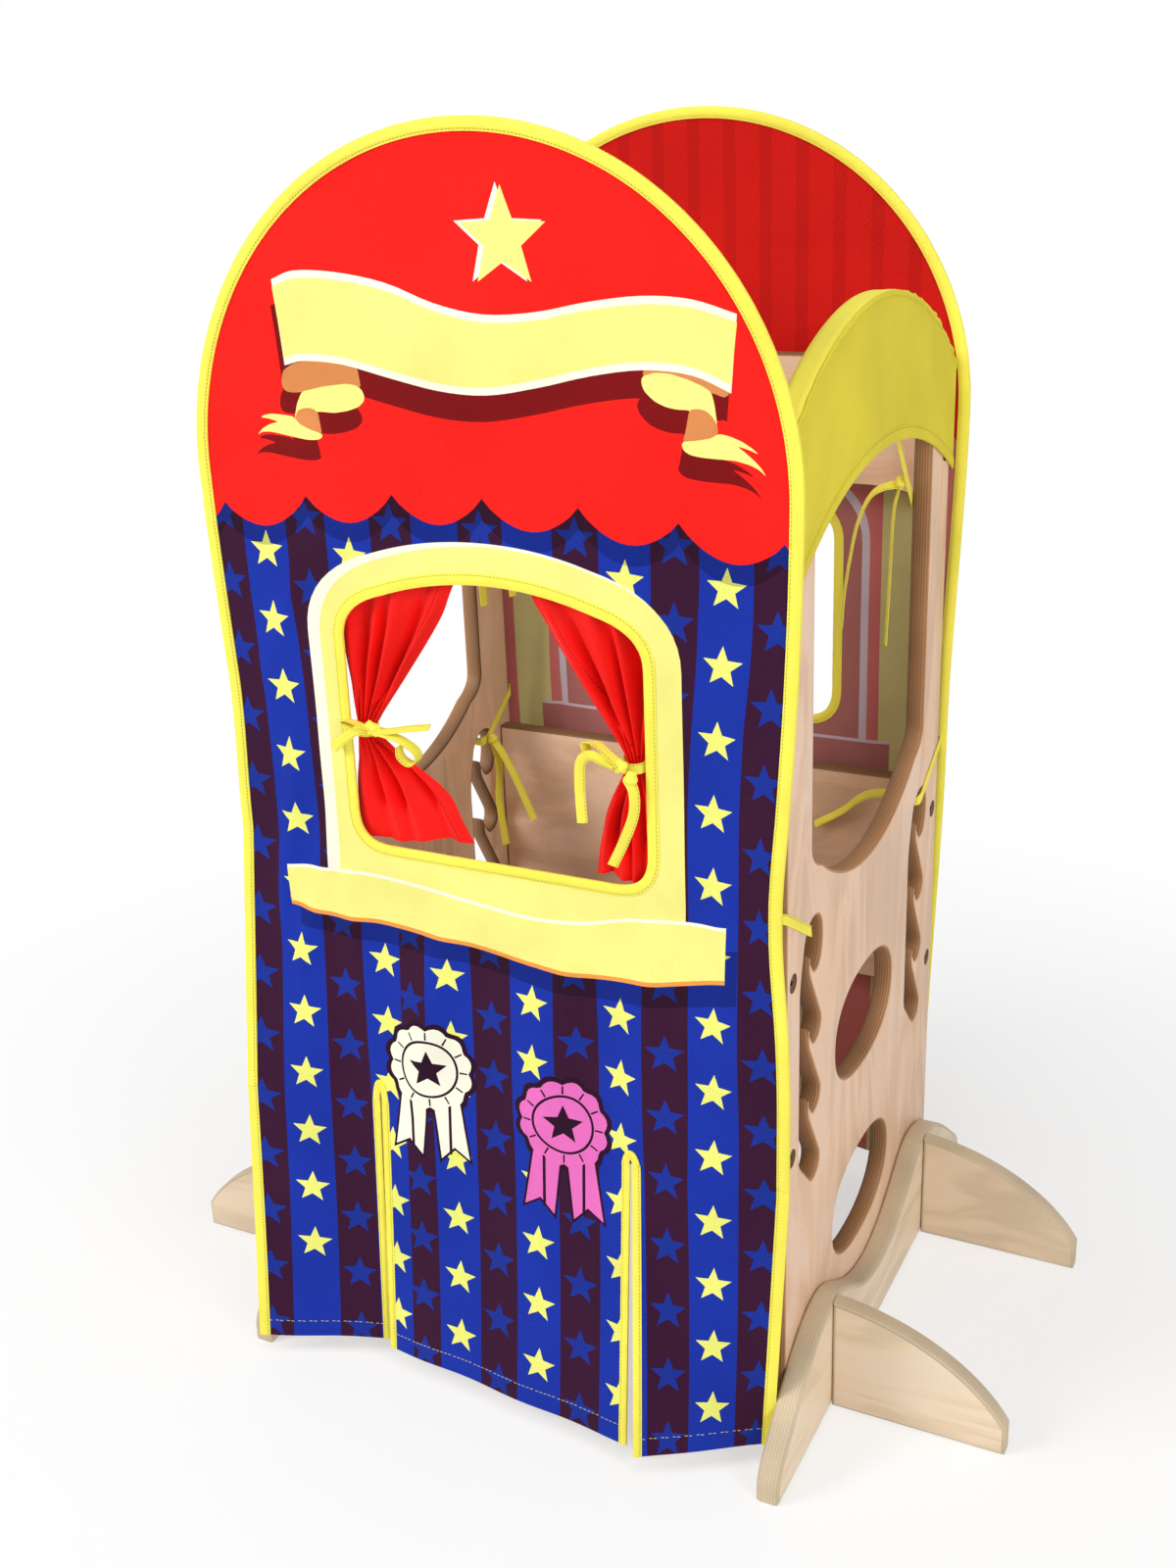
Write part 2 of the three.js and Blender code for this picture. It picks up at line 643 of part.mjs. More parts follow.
// Edge binding with the channel for its hoop, and the hoop itself
function edgeBinding(side, low, billow) {
  const w = bindingWidth / 2;
  const t = bindingThickness / 2;
  const e = t * bindingEdgeShare;
  const section = [[-w, -e], [-w, e], [0, t], [w, e], [w, -e], [0, -t]];
  const tape = sweep(edgeStations(side, low, w, billow), section);
  const channel = sweep(edgeStations(side, low - overrun, w, billow), roundSection(hoopRadius + hoopFit, 6));
  return tape.subtract(channel);
}

function hoop(side, low, billow) {
  return sweep(edgeStations(side, low, bindingWidth / 2, billow), roundSection(hoopRadius, 6));
}

function windowTape(side) {
  const outline = windowOutline(windowBinding, THREE.Shape);
  outline.holes.push(windowOutline(0, THREE.Path));
  const middle = side * clothY;
  return slabAcrossY(outline, middle - windowBindingThickness / 2, middle + windowBindingThickness / 2, 8);
}

const edgeBillow = (x, z) => frontBillow(0, z);
addPiece('front_cloth', printedCloth(-1, clothLow, frontBillow, [slitCut()]), frontPrint);
addPiece('rear_cloth', printedCloth(1, rearHemHeight, rearBillow, []), rearPrint);
for (const [name, side, low, billow] of [
  ['front', -1, clothLow, edgeBillow],
  ['rear', 1, rearHemHeight, () => 0],
]) {
  addPiece(`${name}_edge_binding`, edgeBinding(side, low, billow), yellowCloth);
  addPiece(`${name}_hoop_rod`, hoop(side, low, billow), fibreRod);
}

// Flap that hangs from the hinge line, with thicker bound edges; its folds deepen towards the hem
function flap({ hinge, hem, billow }) {
  const rows = 6;
  const plainColumns = 5;
  const columns = plainColumns + 4;
  const places = (width) => {
    const bound = slitBindingWidth;
    const plain = Array.from({ length: plainColumns - 1 }, (_, i) => (
      bound + ((width - 2 * bound) * (i + 1)) / plainColumns));
    return [0, bound, bound + bindingStep, ...plain, width - bound - bindingStep, width - bound, width];
  };
  return clothGrid(columns, rows, (column, row) => {
    const drop = row / rows;
    const left = THREE.MathUtils.lerp(hinge[0], hem[0], drop);
    const width = THREE.MathUtils.lerp(hinge[1] - hinge[0], hem[1] - hem[0], drop);
    const along = places(width)[column];
    const z = THREE.MathUtils.lerp(hingeHeight, hemHeight, drop);
    const reach = THREE.MathUtils.lerp(billow[0], billow[1], along / width);
    const lean = THREE.MathUtils.lerp(hingeBillow, reach, drop);
    const fold = foldDepth * drop * Math.sin((2 * Math.PI * along) / foldPitch);
    return new THREE.Vector3(left + along, -clothY - lean - fold, z);
  }, (column, row) => {
    if (row === 0) return creaseThickness;
    return column < 2 || column > columns - 2 ? slitBindingThickness : clothThickness;
  });
}

for (const [name, sizes] of Object.entries(flapEdges)) addPiece(`${name}_flap`, flap(sizes), frontPrint);

const coverReach = clothY - bindingThickness / 2 - seatGap; // half its length, up to the edge bindings

// Cap of cloth over the arch of a side panel, deep outside and shallow inside
function sideCover() {
  const reach = coverReach;
  const capRadius = panelArchRadius + seatGap + coverThickness;
  const roomRadius = panelArchRadius + seatGap;
  const capAngle = Math.asin(reach / capRadius) * beyondShare;
  const innerAngle = Math.acos((coverInnerEdge - panelArchCentre) / capRadius);
  const lowAngle = Math.asin((reach + 2 * coverLowOffset) / coverLowRadius);
  const arch = (radius, angle) => {
    const shape = new THREE.Shape();
    shape.absarc(0, panelArchCentre, radius, Math.PI / 2 - angle, Math.PI / 2 + angle, false);
    return shape;
  };
  const skin = arch(capRadius, capAngle);
  skin.absarc(coverLowOffset, coverLowCrown - coverLowRadius, coverLowRadius, Math.PI / 2 + lowAngle,
    Math.PI / 2 - lowAngle, true);
  const room = arch(roomRadius, capAngle);
  room.lineTo(-2 * reach, 0);
  room.lineTo(2 * reach, 0);
  const ends = outlineOf([[-reach, 0], [reach, 0], [reach, clothTop], [-reach, clothTop]]);
  const inner = innerX - seatGap;
  const outer = outerX + seatGap;
  return slabAcrossX(skin, inner, outer + coverThickness, 10)
    .add(slabAcrossX(arch(capRadius, innerAngle), inner - coverThickness, inner + coverThickness, 10))
    .subtract(slabAcrossX(room, inner, outer, 10))
    .intersect(slabAcrossX(ends, 0, 2 * outerX, 1));
}

addPair('side_cover', sideCover(), yellowCloth);

// Curtain: sewn on behind the window's head, gathered at its tie, loose below; rows of [left, right, z]
const gatherTop = curtainTieHeight + curtainGather;
const gatherLow = curtainTieHeight - curtainGather;
const curtainSides = {
  left: [[-164, -22, curtainTop], [-158, -48, 772], [-150, -86, 716], [-140, -122, gatherTop],
    [-140, -122, gatherLow], [-150, -58, 606], [-154, -34, curtainBottom]],
  right: [[26, 164, curtainTop], [52, 158, 772], [88, 150, 716], [122, 140, gatherTop],
    [122, 140, gatherLow], [98, 148, 606], [92, 150, curtainBottom]],
};

function curtain(rows) {
  const columns = 10;
  const sewn = -clothY + (clothThickness + curtainThickness) / 2 + 2 * seatGap;
  return clothGrid(columns, rows.length - 1, (column, row) => {
    const [left, right, z] = rows[row];
    const share = column / columns;
    const x = left + (right - left) * share;
    if (row === 0) return new THREE.Vector3(x, sewn, z);
    const pleat = curtainPleat * (column % 2 === 0 ? 1 : -1);
    return new THREE.Vector3(x, -clothY + curtainBack + pleat / 2, z);
  }, () => curtainThickness);
}

// Loop of tape round a gathered curtain, with its knot, two loops of the bow and two tails in front
function curtainTie([left, right, top]) {
  const clear = seatGap + strapThickness / 2;
  const x = (left + right) / 2;
  const z = top - curtainGather;
  const front = -clothY - windowBindingThickness / 2 - clear;
  const back = -clothY + curtainBack + (curtainThickness + curtainPleat) / 2 + clear;
  const corners = [[left, front, -1], [right, front, 1], [right, back, 1], [left, back, -1]];
  const loop = band(corners.map(([u, v, way]) => new THREE.Vector3(u + way * clear, v, z)), upward, true);
  const face = front - strapThickness / 2 - knotSize / 2 + seatGap;
  const tape = (path, way, across) => (
    band(path.map(([u, v]) => new THREE.Vector3(x + way * u, face, z + v)), across));
  const sides = [-1, 1].flatMap((way) => [tape(bowTail, way, sideways), tape(bowLoop, way, outward)]);
  return joined([loop, knotAt(new THREE.Vector3(x, face, z)), ...sides]);
}

const upward = new THREE.Vector3(0, 0, 1);
const outward = new THREE.Vector3(0, 1, 0);
const sideways = new THREE.Vector3(1, 0, 0);

// Strap along points, with its width along one direction and its corners mitred
function band(points, across, closed = false) {
  const mitreLimit = 0.4;
  const count = points.length;
  const stations = points.map((at, i) => {
    const before = closed ? points[(i + count - 1) % count] : points[i - 1];
    const after = closed ? points[(i + 1) % count] : points[i + 1];
    const ways = [before && at.clone().sub(before), after && after.clone().sub(at)].filter(Boolean);
    const sides = ways.map((way) => way.cross(across).normalize());
    const out = sides.reduce((sum, side) => sum.add(side), new THREE.Vector3()).normalize();
    out.divideScalar(Math.max(mitreLimit, out.dot(sides[0])));
    return { at, across, out };
  });
  const w = strapWidth / 2;
  const t = strapThickness / 2;
  return sweep(stations, [[-w, -t], [w, -t], [w, t], [-w, t]], closed);
}

function knotAt(centre) {
  const geometry = new THREE.IcosahedronGeometry(knotSize / 2, 1);
  geometry.translate(centre.x, centre.y, centre.z);
  return solidOf(geometry);
}

for (const [name, rows] of Object.entries(curtainSides)) {
  addPiece(`${name}_curtain`, curtain(rows), redCloth);
  addPiece(`${name}_curtain_tie`, curtainTie(rows.find(([, , z]) => z === gatherTop)), yellowCloth);
}

// Strap round the post of the right side panel, between its edge and an opening, knotted inside the tower
function postTie(side, z, openingY, rise) {
  const clear = seatGap + strapThickness / 2;
  const outside = outerX + clear;
  const inside = innerX - clear;
  const edge = side * (clothY - bindingThickness / 2 - clear);
  const opening = side * openingY;
  const loop = band([new THREE.Vector3(outside, opening, z), new THREE.Vector3(outside, edge, z + rise),
    new THREE.Vector3(inside, edge, z + rise), new THREE.Vector3(inside, opening, z)], upward, true);
  const face = inside - strapThickness / 2 - knotSize / 2 + seatGap;
  const knotY = opening + side * knotSize;
  const tails = postTails.map((path) => band([new THREE.Vector3(face, knotY, z), ...path.map(([away, up]) => (
    new THREE.Vector3(face - knotSize / 2, knotY - side * away, z + up)))], outward));
  return joined([loop, knotAt(new THREE.Vector3(face, knotY, z)), ...tails]);
}

const windowPost = sideWindowHalfWidth - seatGap - strapThickness;
const coverCorner = arcHeight(coverLowCrown, coverLowRadius, coverReach + coverLowOffset);
for (const [name, side, slotMiddle] of [
  ['front', -1, -slotFront - slotWidth / 2],
  ['rear', 1, slotRear + slotWidth / 2],
]) {
  addPair(`${name}_upper_tie`, postTie(side, coverCorner - upperTieDrop, windowPost, 0), yellowCloth);
  const tie = postTie(side, slotHead - lowerTieDrop, slotMiddle, lowerTieRise[name]);
  addPair(`${name}_lower_tie`, tie, yellowCloth);
}

export default stand;
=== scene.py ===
"""Puppet theater stand: the looks of a child's climbing tower dressed with a printed cloth theater.

Sizes in the code are millimetres in the tower's own frame: the origin lies on the floor under the
tower's middle, +Z is up, the theater's front faces -Y and +X is on the right as seen from the front.
"""
import math

import bpy
import numpy as np
from bpy.props import FloatProperty, FloatVectorProperty, IntProperty, PointerProperty
from mathutils import Matrix, Vector
from mathutils.geometry import delaunay_2d_cdt


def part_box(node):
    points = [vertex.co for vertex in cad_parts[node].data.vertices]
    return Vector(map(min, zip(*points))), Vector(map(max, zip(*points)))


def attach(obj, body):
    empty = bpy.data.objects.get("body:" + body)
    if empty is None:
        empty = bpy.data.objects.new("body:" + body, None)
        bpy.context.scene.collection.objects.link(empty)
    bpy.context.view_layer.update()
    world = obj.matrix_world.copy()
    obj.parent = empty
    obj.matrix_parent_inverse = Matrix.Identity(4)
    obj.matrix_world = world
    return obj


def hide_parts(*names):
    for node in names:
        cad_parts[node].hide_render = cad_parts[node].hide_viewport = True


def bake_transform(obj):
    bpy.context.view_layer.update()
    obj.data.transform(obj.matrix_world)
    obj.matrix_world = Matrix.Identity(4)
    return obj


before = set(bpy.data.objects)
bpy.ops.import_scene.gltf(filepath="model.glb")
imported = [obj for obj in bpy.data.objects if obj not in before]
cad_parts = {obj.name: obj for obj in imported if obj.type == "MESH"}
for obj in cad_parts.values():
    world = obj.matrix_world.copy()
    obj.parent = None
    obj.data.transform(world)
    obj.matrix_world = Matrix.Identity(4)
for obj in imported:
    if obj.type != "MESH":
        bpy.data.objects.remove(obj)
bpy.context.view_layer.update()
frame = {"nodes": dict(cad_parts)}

bl_info = {
    "name": "Puppet theater stand",
    "version": (1, 0, 0),
    "blender": (4, 5, 0),
    "location": "3D View > Sidebar > Theater",
    "description": "Builds the wood, cloth and stage of a puppet theater stand round its CAD frame",
    "category": "Add Mesh",
}

MM = 0.001
SIDES = (("right", 1), ("left", -1))
ENDS = (("front", -1), ("rear", 1))

# The tower, as in the part's source
OUTER_X, INNER_X, HALF_DEPTH, PANEL_HEIGHT, ARCH_RADIUS = 263.0, 245.0, 227.0, 1014.0, 345.0
ARCH_CENTRE = PANEL_HEIGHT - ARCH_RADIUS
SEAT_GAP = 0.3
WINDOW_HALF, WINDOW_SILL, SILL_RADIUS, WINDOW_CORNER, HEAD_WOOD = 164.0, 511.0, 232.0, 26.0, 78.0
LEAF_HALF_WIDTH, LEAF_HALF_HEIGHT, LEAF_BACK, LEAF_HEIGHTS = 85.0, 52.0, -8.0, (346.0, 149.0)
LEAF_SQUARENESS = 2.3
SLOT_FRONTS, SLOT_WIDTH, SLOT_PITCH, SLOT_BOTTOM, SLOT_NOTCHES = (-191.0, 129.7), 55.0, 71.1, 247.4, 4
NOTCH_SHARES = ((0.61, 0), (0.88, 0.05), (0.98, 0.22), (0.36, 1.03), (0.36, 1.33))
SLOT_HEAD_SHARES = ((0.61, 0), (0.88, 0.05), (0.98, 0.3), (0.96, 0.56), (0.82, 0.69), (0.62, 0.74),
                    (0.4, 0.7), (0.22, 0.56), (0.05, 0.1), (0, -0.12))
SLOT_ROUNDING = 8.0
CROSS_Y, CROSS_THICKNESS, CROSS_REACH = 210.0, 18.0, 244.7
RAIL_TOP, RAIL_BOTTOM, RAIL_FLARE, RAIL_FLARE_LENGTH = 936.0, 810.0, 10.0, 60.0
LOWER_PANEL_TOP, LOWER_PANEL_BOTTOM = 507.0, 270.0
CROSS_SCREW_HEIGHTS = {"panel": (302.0, 474.5), "rail": (846.0, 908.0)}
COUNTERBORE_RADIUS, COUNTERBORE_DEPTH = 8.9, 5.0
SCREW_SEAT = OUTER_X - COUNTERBORE_DEPTH + SEAT_GAP
FIN_SCREW_HEIGHTS = (34.0, 84.0)
PANEL_ROUNDING, RAIL_ROUNDING, BOARD_ROUNDING, FIN_ROUNDING = 3.0, 2.0, 4.0, 3.0

# The stabilizers
BOARD_INNER, BOARD_OUTER, BOARD_REACH, BOARD_END = 263.3, 285.3, 302.0, 26.0
LOBE_HEIGHT, WAIST_HEIGHT, LOBE_Y = 118.0, 62.0, 150.0
FIN_ROOT, FIN_LENGTH, FIN_HEIGHT, FIN_TIP, FIN_THICKNESS = 285.6, 166.0, 118.0, 28.0, 18.0

# The cloth theater
CLOTH_Y, CLOTH_TOP, CLOTH_RADIUS, CLOTH_WAIST, TIE_HEIGHT = 236.0, 1170.0, 283.0, 273.0, 545.0
CLOTH_CENTRE = CLOTH_TOP - CLOTH_RADIUS
HINGE, HEM, REAR_HEM, SLIT_TOP, HINGE_BILLOW = 283.0, 22.0, 28.0, 312.0, 18.0
FLAP_TOP = 290.0  # the fixed cloth ends and the flaps begin here, a little above their hinge
BINDING_INSET, BINDING, BINDING_THICK = 10.0, 11.0, 6.6  # the binding's middle lies that far inside the edge
SLIT_BINDING, SLIT_THICK = 8.0, 3.4
LEFT_SLIT, REAR_SEAM, FOOT_POINTS = (-141, -137, -133), 245, 12  # foot, top, foot; half a seam; points of a hem
OPENING_HALF, OPENING_SILL, OPENING_CROWN, OPENING_RADIUS = 144.0, 552.0, 803.0, 312.0
OPENING_TOP_CORNER, OPENING_LOW_CORNER, OPENING_BINDING = 42.0, 32.0, 10.0
FOLD_DEPTH, FOLD_PITCH = 4.0, 118.0
FLAPS = {
    "left": dict(hinge=(-273.0, -138.0), hem=(-271.0, -139.5), billow=(82.0, 32.0), tapes=(20.0, 8.0)),
    "middle": dict(hinge=(-135.6, 127.0), hem=(-134.0, 140.0), billow=(43.0, 72.0), tapes=(8.0, 8.0)),
    "right": dict(hinge=(129.4, 273.0), hem=(152.0, 264.5), billow=(84.0, 14.0), tapes=(8.0, 20.0)),
}

TOWER_MIDDLE = sum(c.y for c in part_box("right_side_panel")) / 2 / MM  # the tower stands behind the row's middle

# Covers, curtains and ties
COVER_STANDOFF, COVER_RADIUS, COVER_REACH, COVER_INNER = 1.4, 346.4, 232.2, 946.0
COVER_LOW_RADIUS, COVER_LOW_OFFSET, COVER_LOW_CROWN = 402.0, 20.0, 886.0
COVER_LOW_CENTRE = COVER_LOW_CROWN - COVER_LOW_RADIUS
COVER_HEM, COVER_SEAM = (12.0, 1.9, 1.0), (5.0, 3.0, 0.8)  # width, thickness in the middle and at the edges
COVER_STITCH, COVER_FULLNESS = 4.2, 1.03
COVER_FOLD, COVER_LIT_STRIP_ROWS = 25, 6  # the row where its face turns over the panel's edge, and the rows over it, which take the brighter tape yellow as painted light
CURTAIN_BACK, CURTAIN_TIE, CURTAIN_GATHER, CURTAIN_HEM = 9.0, 662.0, 34.0, 12.0
CURTAIN_ROOM = (-235.4, -219.6)  # between the window's tape and the posts
CURTAIN_FREE = (572.0, 792.0)  # between these heights it hangs clear of the window's tape
CURTAIN_ROWS = {  # height, left edge and right edge
    "left": ((826, -164, -22), (772, -158, -48), (716, -150, -86), (669, -141, -121), (655, -141, -121),
             (606, -150, -62), (553, -152, -30)),
    "right": ((826, 26, 164), (772, 52, 158), (716, 88, 150), (669, 121, 141), (655, 121, 141), (606, 99, 148),
              (553, 91, 152)),
}
CURTAIN_HEM_RISE = {"left": 11.0, "right": 3.0}  # of the free corner over the sewn one
CURTAIN_FOLDS = (  # place across from the sewn edge, width, height, lean with distance from the tie, reach
    (0.13, 0.07, 5.0, -0.02, 150), (0.36, 0.055, 7.4, 0.05, 130), (0.62, 0.08, 6.2, -0.04, 180),
    (0.88, 0.06, 4.4, 0.02, 210), (0.25, 0.045, -5.6, 0.02, 130), (0.47, 0.06, -6.0, 0.0, 160),
    (0.76, 0.05, -6.4, 0.02, 150))
BOW_X, BOW_HALF, BOW_FRONT, BOW_BACK = 131.0, 11.0, 238.6, 222.0
BOW_KNOTS = {"left": (-114.0, -242.6, 665.0), "right": (124.5, -243.6, 663.0)}
BOW_LINES = {  # ribbons of each bow from its knot, (across, out, up), and the way that their face or edge turns
    "left": ((((0, 0, 0), (16, 3, 2), (34, 2, 6), (55, -1, 9)), "face", (0.1, -0.35, 1.0)),
             (((2, 2, -1), (16, 5, -1), (30, 4, -5), (41, 1, -14), (41, -1, -23), (33, 0, -27), (25, 2, -20),
               (26, 4, -10)), "edge", (-0.35, -1.0, -0.35)),
             (((0, 1, 0), (-14, 4, 0), (-30, 3, -9), (-46, 0, -22)), "face", (0.2, -1.0, 0.35)),
             (((0, 1, 1), (-10, 4, 4), (-24, 3, 7), (-33, 1, 5), (-24, 2, 1), (-8, 3, 0)), "edge",
              (-0.3, -1.0, 0.1))),
    "right": ((((0, 1, 0), (-13, 5, 5), (-25, 4, 8), (-36, 1, 0), (-39, -1, -22), (-38, -1, -56)), "face",
               (0.25, -1.0, 0.1)),
              (((0, 1, 1), (-9, 4, 11), (-20, 4, 19), (-31, 2, 18), (-29, 0, 9), (-17, 3, 5), (-4, 4, 1)), "edge",
               (-0.5, -1.0, 0.1)),
              (((6, 1, -9), (12, 2, -20), (11, 1, -40), (2, 0, -64), (-11, -1, -91)), "face", (0.45, -1.0, 0.1))),
}
BOW_SECOND_WRAP = {"left": (-3.0, 1.0, 2.0), "right": (9.0, 0.5, -9.0)}
POST_FACE, POST_RISE = 237.2, 42.0
LOWER_TIE, LOWER_TIE_POSTS = 502.0, {"front": 163.5, "rear": 157.2}  # height, and the post's edge at the opening
POST_INNER, POST_OUTER, POST_AHEAD = 244.05, 263.95, 231.55  # where a tie lies on its post
UPPER_KNOT = (149.0, 827.0)
UPPER_RUN = ((231.5, 786), (212, 786), (192, 788), (172, 802), (156, 820), (149, 827), (137, 844), (113, 876),
             (88, 910), (62, 944))  # from the cloth, under the rail and past the knot to the cover's inner hem
POST_TAILS = {  # inwards from the post, away from it and up, from the knot
    "upper": (((0, 0, 0), (14, 4, -3), (27, 6, -13), (38, 8, -40), (45, 8, -76), (50, 8, -112), (52, 8, -143)),
              ((0, 0, -2), (4, 3, -30), (7, 0, -92), (10, -2, -160))),
    "lower": (((0, 0, 0), (14, 5, -12), (32, 9, -40), (54, 12, -84)),
              ((0, 0, -2), (5, -1, -30), (4, 2, -70), (12, 6, -124))),
    "beside": (((0, 0, 0), (20, -8, -3), (42, -18, -14), (66, -24, -36), (96, -25, -56)),
               ((0, 0, -2), (5, -1, -30), (4, 2, -70), (9, 4, -118))),
}


def row(points):
    """Points of the tower's frame, in millimetres, as metres of the row's frame."""
    return (np.asarray(points, float) + (0, TOWER_MIDDLE, 0)) * MM


def hex_colour(text):
    """Linear colour of an sRGB hex value."""
    parts = [int(text[i:i + 2], 16) / 255 for i in (1, 3, 5)]
    return tuple(p / 12.92 if p <= 0.04045 else ((p + 0.055) / 1.055) ** 2.4 for p in parts)


def colour_property(name, description, text):
    return FloatVectorProperty(name=name, description=description, default=hex_colour(text),
                               subtype="COLOR", size=3, min=0, max=1)


def length_property(name, description, default):
    return FloatProperty(name=name, description=description, default=default, unit="LENGTH")


class PrintColours(bpy.types.PropertyGroup):
    """Inks of the printed cloths."""

    red: colour_property("Valance red", "Ground of both arches", "#FA211B")
    blue: colour_property("Blue", "Blue stripes", "#1A34A6")
    purple: colour_property("Plum", "Plum stripes between the blue ones", "#3A1533")
    star: colour_property("Star yellow", "Stars on the blue stripes", "#F5F77C")
    deep_star: colour_property("Star blue", "Stars on the plum stripes", "#1C3398")
    frame: colour_property("Frame yellow", "Window frame, ribbon and sill", "#FBF48A")
    cream: colour_property("Cream", "Highlights, outlines and one rosette", "#FEFCE6")
    orange: colour_property("Orange", "Lower edge of the sill", "#F5A04A")
    tan: colour_property("Tan", "Folds of the ribbon", "#DC8C52")
    shadow: colour_property("Oxblood", "Painted shadow of the ribbon", "#7E1013")
    pink: colour_property("Pink", "The other rosette", "#EE74C4")
    lime: colour_property("Lime", "Pale stripes of the rear cloth", "#D8D684")
    rear_red: colour_property("Rear red", "Ground of the rear cloth's arch", "#D01A14")
    rear_pink: colour_property("Rear pink", "Red stripes of the rear cloth, paler on its reverse", "#D2404C")
    brick: colour_property("Brick", "Frame round the rear opening", "#A83440")
    lilac: colour_property("Lilac", "Outline of the rear frame", "#D6CBE0")


class ClothSettings(bpy.types.PropertyGroup):
    """Sizes of the sewn pieces."""

    thickness: length_property("Cloth thickness", "Printed polyester, hems apart", 0.0009)
    grid: length_property("Mesh step", "Step of the cloth's mesh", 0.0065)
    stripe_pitch: length_property("Stripe pitch", "From one blue stripe to the next", 0.0865)
    star_radius: length_property("Star radius", "Reach of a star's points", 0.0175)
    wrinkle: length_property("Wrinkle height", "Height of the soft wrinkles", 0.0036)
    # Tape yellow also serves as painted light on each cover's strip over the panel's edge; cover yellow is that
    # same cloth darkened as painted shade
    yellow: colour_property("Tape yellow", "Bindings and ties", "#FFF35C")
    cover: colour_property("Cover yellow", "Covers over the tower's arches", "#E8D63E")
    curtain: colour_property("Curtain red", "Curtains of the window", "#F51A14")


class WoodSettings(bpy.types.PropertyGroup):
    """Finish of the plywood."""

    tower: colour_property("Tower face", "Lacquered hardwood face of the tower", "#E6BE9C")
    tower_edge: colour_property("Tower edge", "Routed edge of the tower's plies", "#8E6540")
    birch: colour_property("Birch face", "Face of the stabilizers", "#E4CDAE")
    birch_edge: colour_property("Birch edge", "Sanded edge of the stabilizers", "#CDB99A")
    steel: colour_property("Screw steel", "Black oxide on the screws", "#5A5550")


class StageSettings(bpy.types.PropertyGroup):
    """Floor, lights and camera."""

    floor_size: length_property("Floor size", "Side of the floor", 14)
    ambient: FloatProperty(name="Ambient", description="Strength of the light from all round", default=0.42)
    key: FloatProperty(name="Key light", description="Power of the soft light from the left", default=68.0)
    image_height: IntProperty(name="Picture height", description="Height of the picture in pixels", default=1600)
    focal_pixels: FloatProperty(name="Focal length", description="Focal length in pixels", default=1769.02)
    azimuth: FloatProperty(name="Azimuth", description="Camera's turn to the right of the front",
                           default=0.47279, subtype="ANGLE")
    elevation: FloatProperty(name="Elevation", description="Camera's height angle", default=0.36934,
                             subtype="ANGLE")
    roll: FloatProperty(name="Roll", description="Camera's turn about its own axis", default=-0.039478,
                        subtype="ANGLE")
    place: FloatVectorProperty(name="Place", description="Camera's place in the tower's frame",
                               default=(0.7058, -1.4402, 1.1638), subtype="TRANSLATION", unit="LENGTH")


# Meshes -----------------------------------------------------------------------------------------

def pick(*pieces):
    """Selects these pieces alone, the first one active."""
    bpy.ops.object.select_all(action="DESELECT")
    for piece in pieces:
        piece.select_set(True)
    bpy.context.view_layer.objects.active = pieces[0]


def shape_with(piece, kind, **settings):
    """Adds a modifier to a piece and applies it."""
    modifier = piece.modifiers.new(kind.title(), kind)
    for name, value in settings.items():
        setattr(modifier, name, value)
    pick(piece)
    bpy.ops.object.modifier_apply(modifier=modifier.name)


def combine(piece, tool, operation="DIFFERENCE"):
    """Takes a tool's shape off a piece or adds it on, and drops the tool."""
    shape_with(piece, "BOOLEAN", operation=operation, object=tool, solver="EXACT")
    bpy.data.objects.remove(tool)


def cylinder(radius, depth, place, vertices, turn=0.0):
    """A cylinder along z, turned about y; its place is in metres and its sizes in millimetres."""
    bpy.ops.mesh.primitive_cylinder_add(vertices=vertices, radius=radius * MM, depth=depth * MM, location=place,
                                        rotation=(0, turn, 0))
    return bpy.context.object


def clean(piece, distance=0.00001):
    """Merges doubles and turns all faces outwards."""
    pick(piece)
    bpy.ops.object.mode_set(mode="EDIT")
    bpy.ops.mesh.select_all(action="SELECT")
    bpy.ops.mesh.remove_doubles(threshold=distance)
    bpy.ops.mesh.normals_make_consistent(inside=False)
    bpy.ops.object.mode_set(mode="OBJECT")


def smooth(piece, degrees=35):
    pick(piece)
    bpy.ops.object.shade_smooth_by_angle(angle=math.radians(degrees))


def mesh_piece(name, points, faces, uvs=None):
    """A piece from tower points and faces; uvs holds one (u, v) in metres for each corner of each face."""
    mesh = bpy.data.meshes.new(name)
    mesh.from_pydata(row(points).tolist(), [], [tuple(int(i) for i in f) for f in faces])
    if uvs is not None:
        layer = mesh.uv_layers.new(name="UVMap")
        layer.data.foreach_set("uv", np.asarray(uvs, np.float32).ravel())
    mesh.update()
    piece = bpy.data.objects.new(name, mesh)
    bpy.context.scene.collection.objects.link(piece)
    return piece


def dress(piece, body, slot, nodes, *materials):
    """Gives a piece its materials, hangs it from its body's empty where the body is a name and else bakes its
    transform, and hides the nodes that it stands for; its slot is not used.
    """
    while len(piece.data.materials) > len(materials):
        piece.data.materials.pop()
    for k, material in enumerate(materials):
        if k < len(piece.data.materials):
            piece.data.materials[k] = material
        else:
            piece.data.materials.append(material)
    if isinstance(body, str):
        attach(piece, body)
    else:
        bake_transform(piece)
    if nodes:
        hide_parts(*nodes)
    return piece


def sewn(piece, body, nodes, finish, slot="yellow_cloth"):
    """Closes, smooths and dresses a swept piece."""
    clean(piece)
    smooth(piece, 50)
    dress(piece, body, slot, nodes, finish)


def unit(vectors):
    vectors = np.asarray(vectors, float)
    return vectors / np.maximum(np.linalg.norm(vectors, axis=-1, keepdims=True), 1e-9)


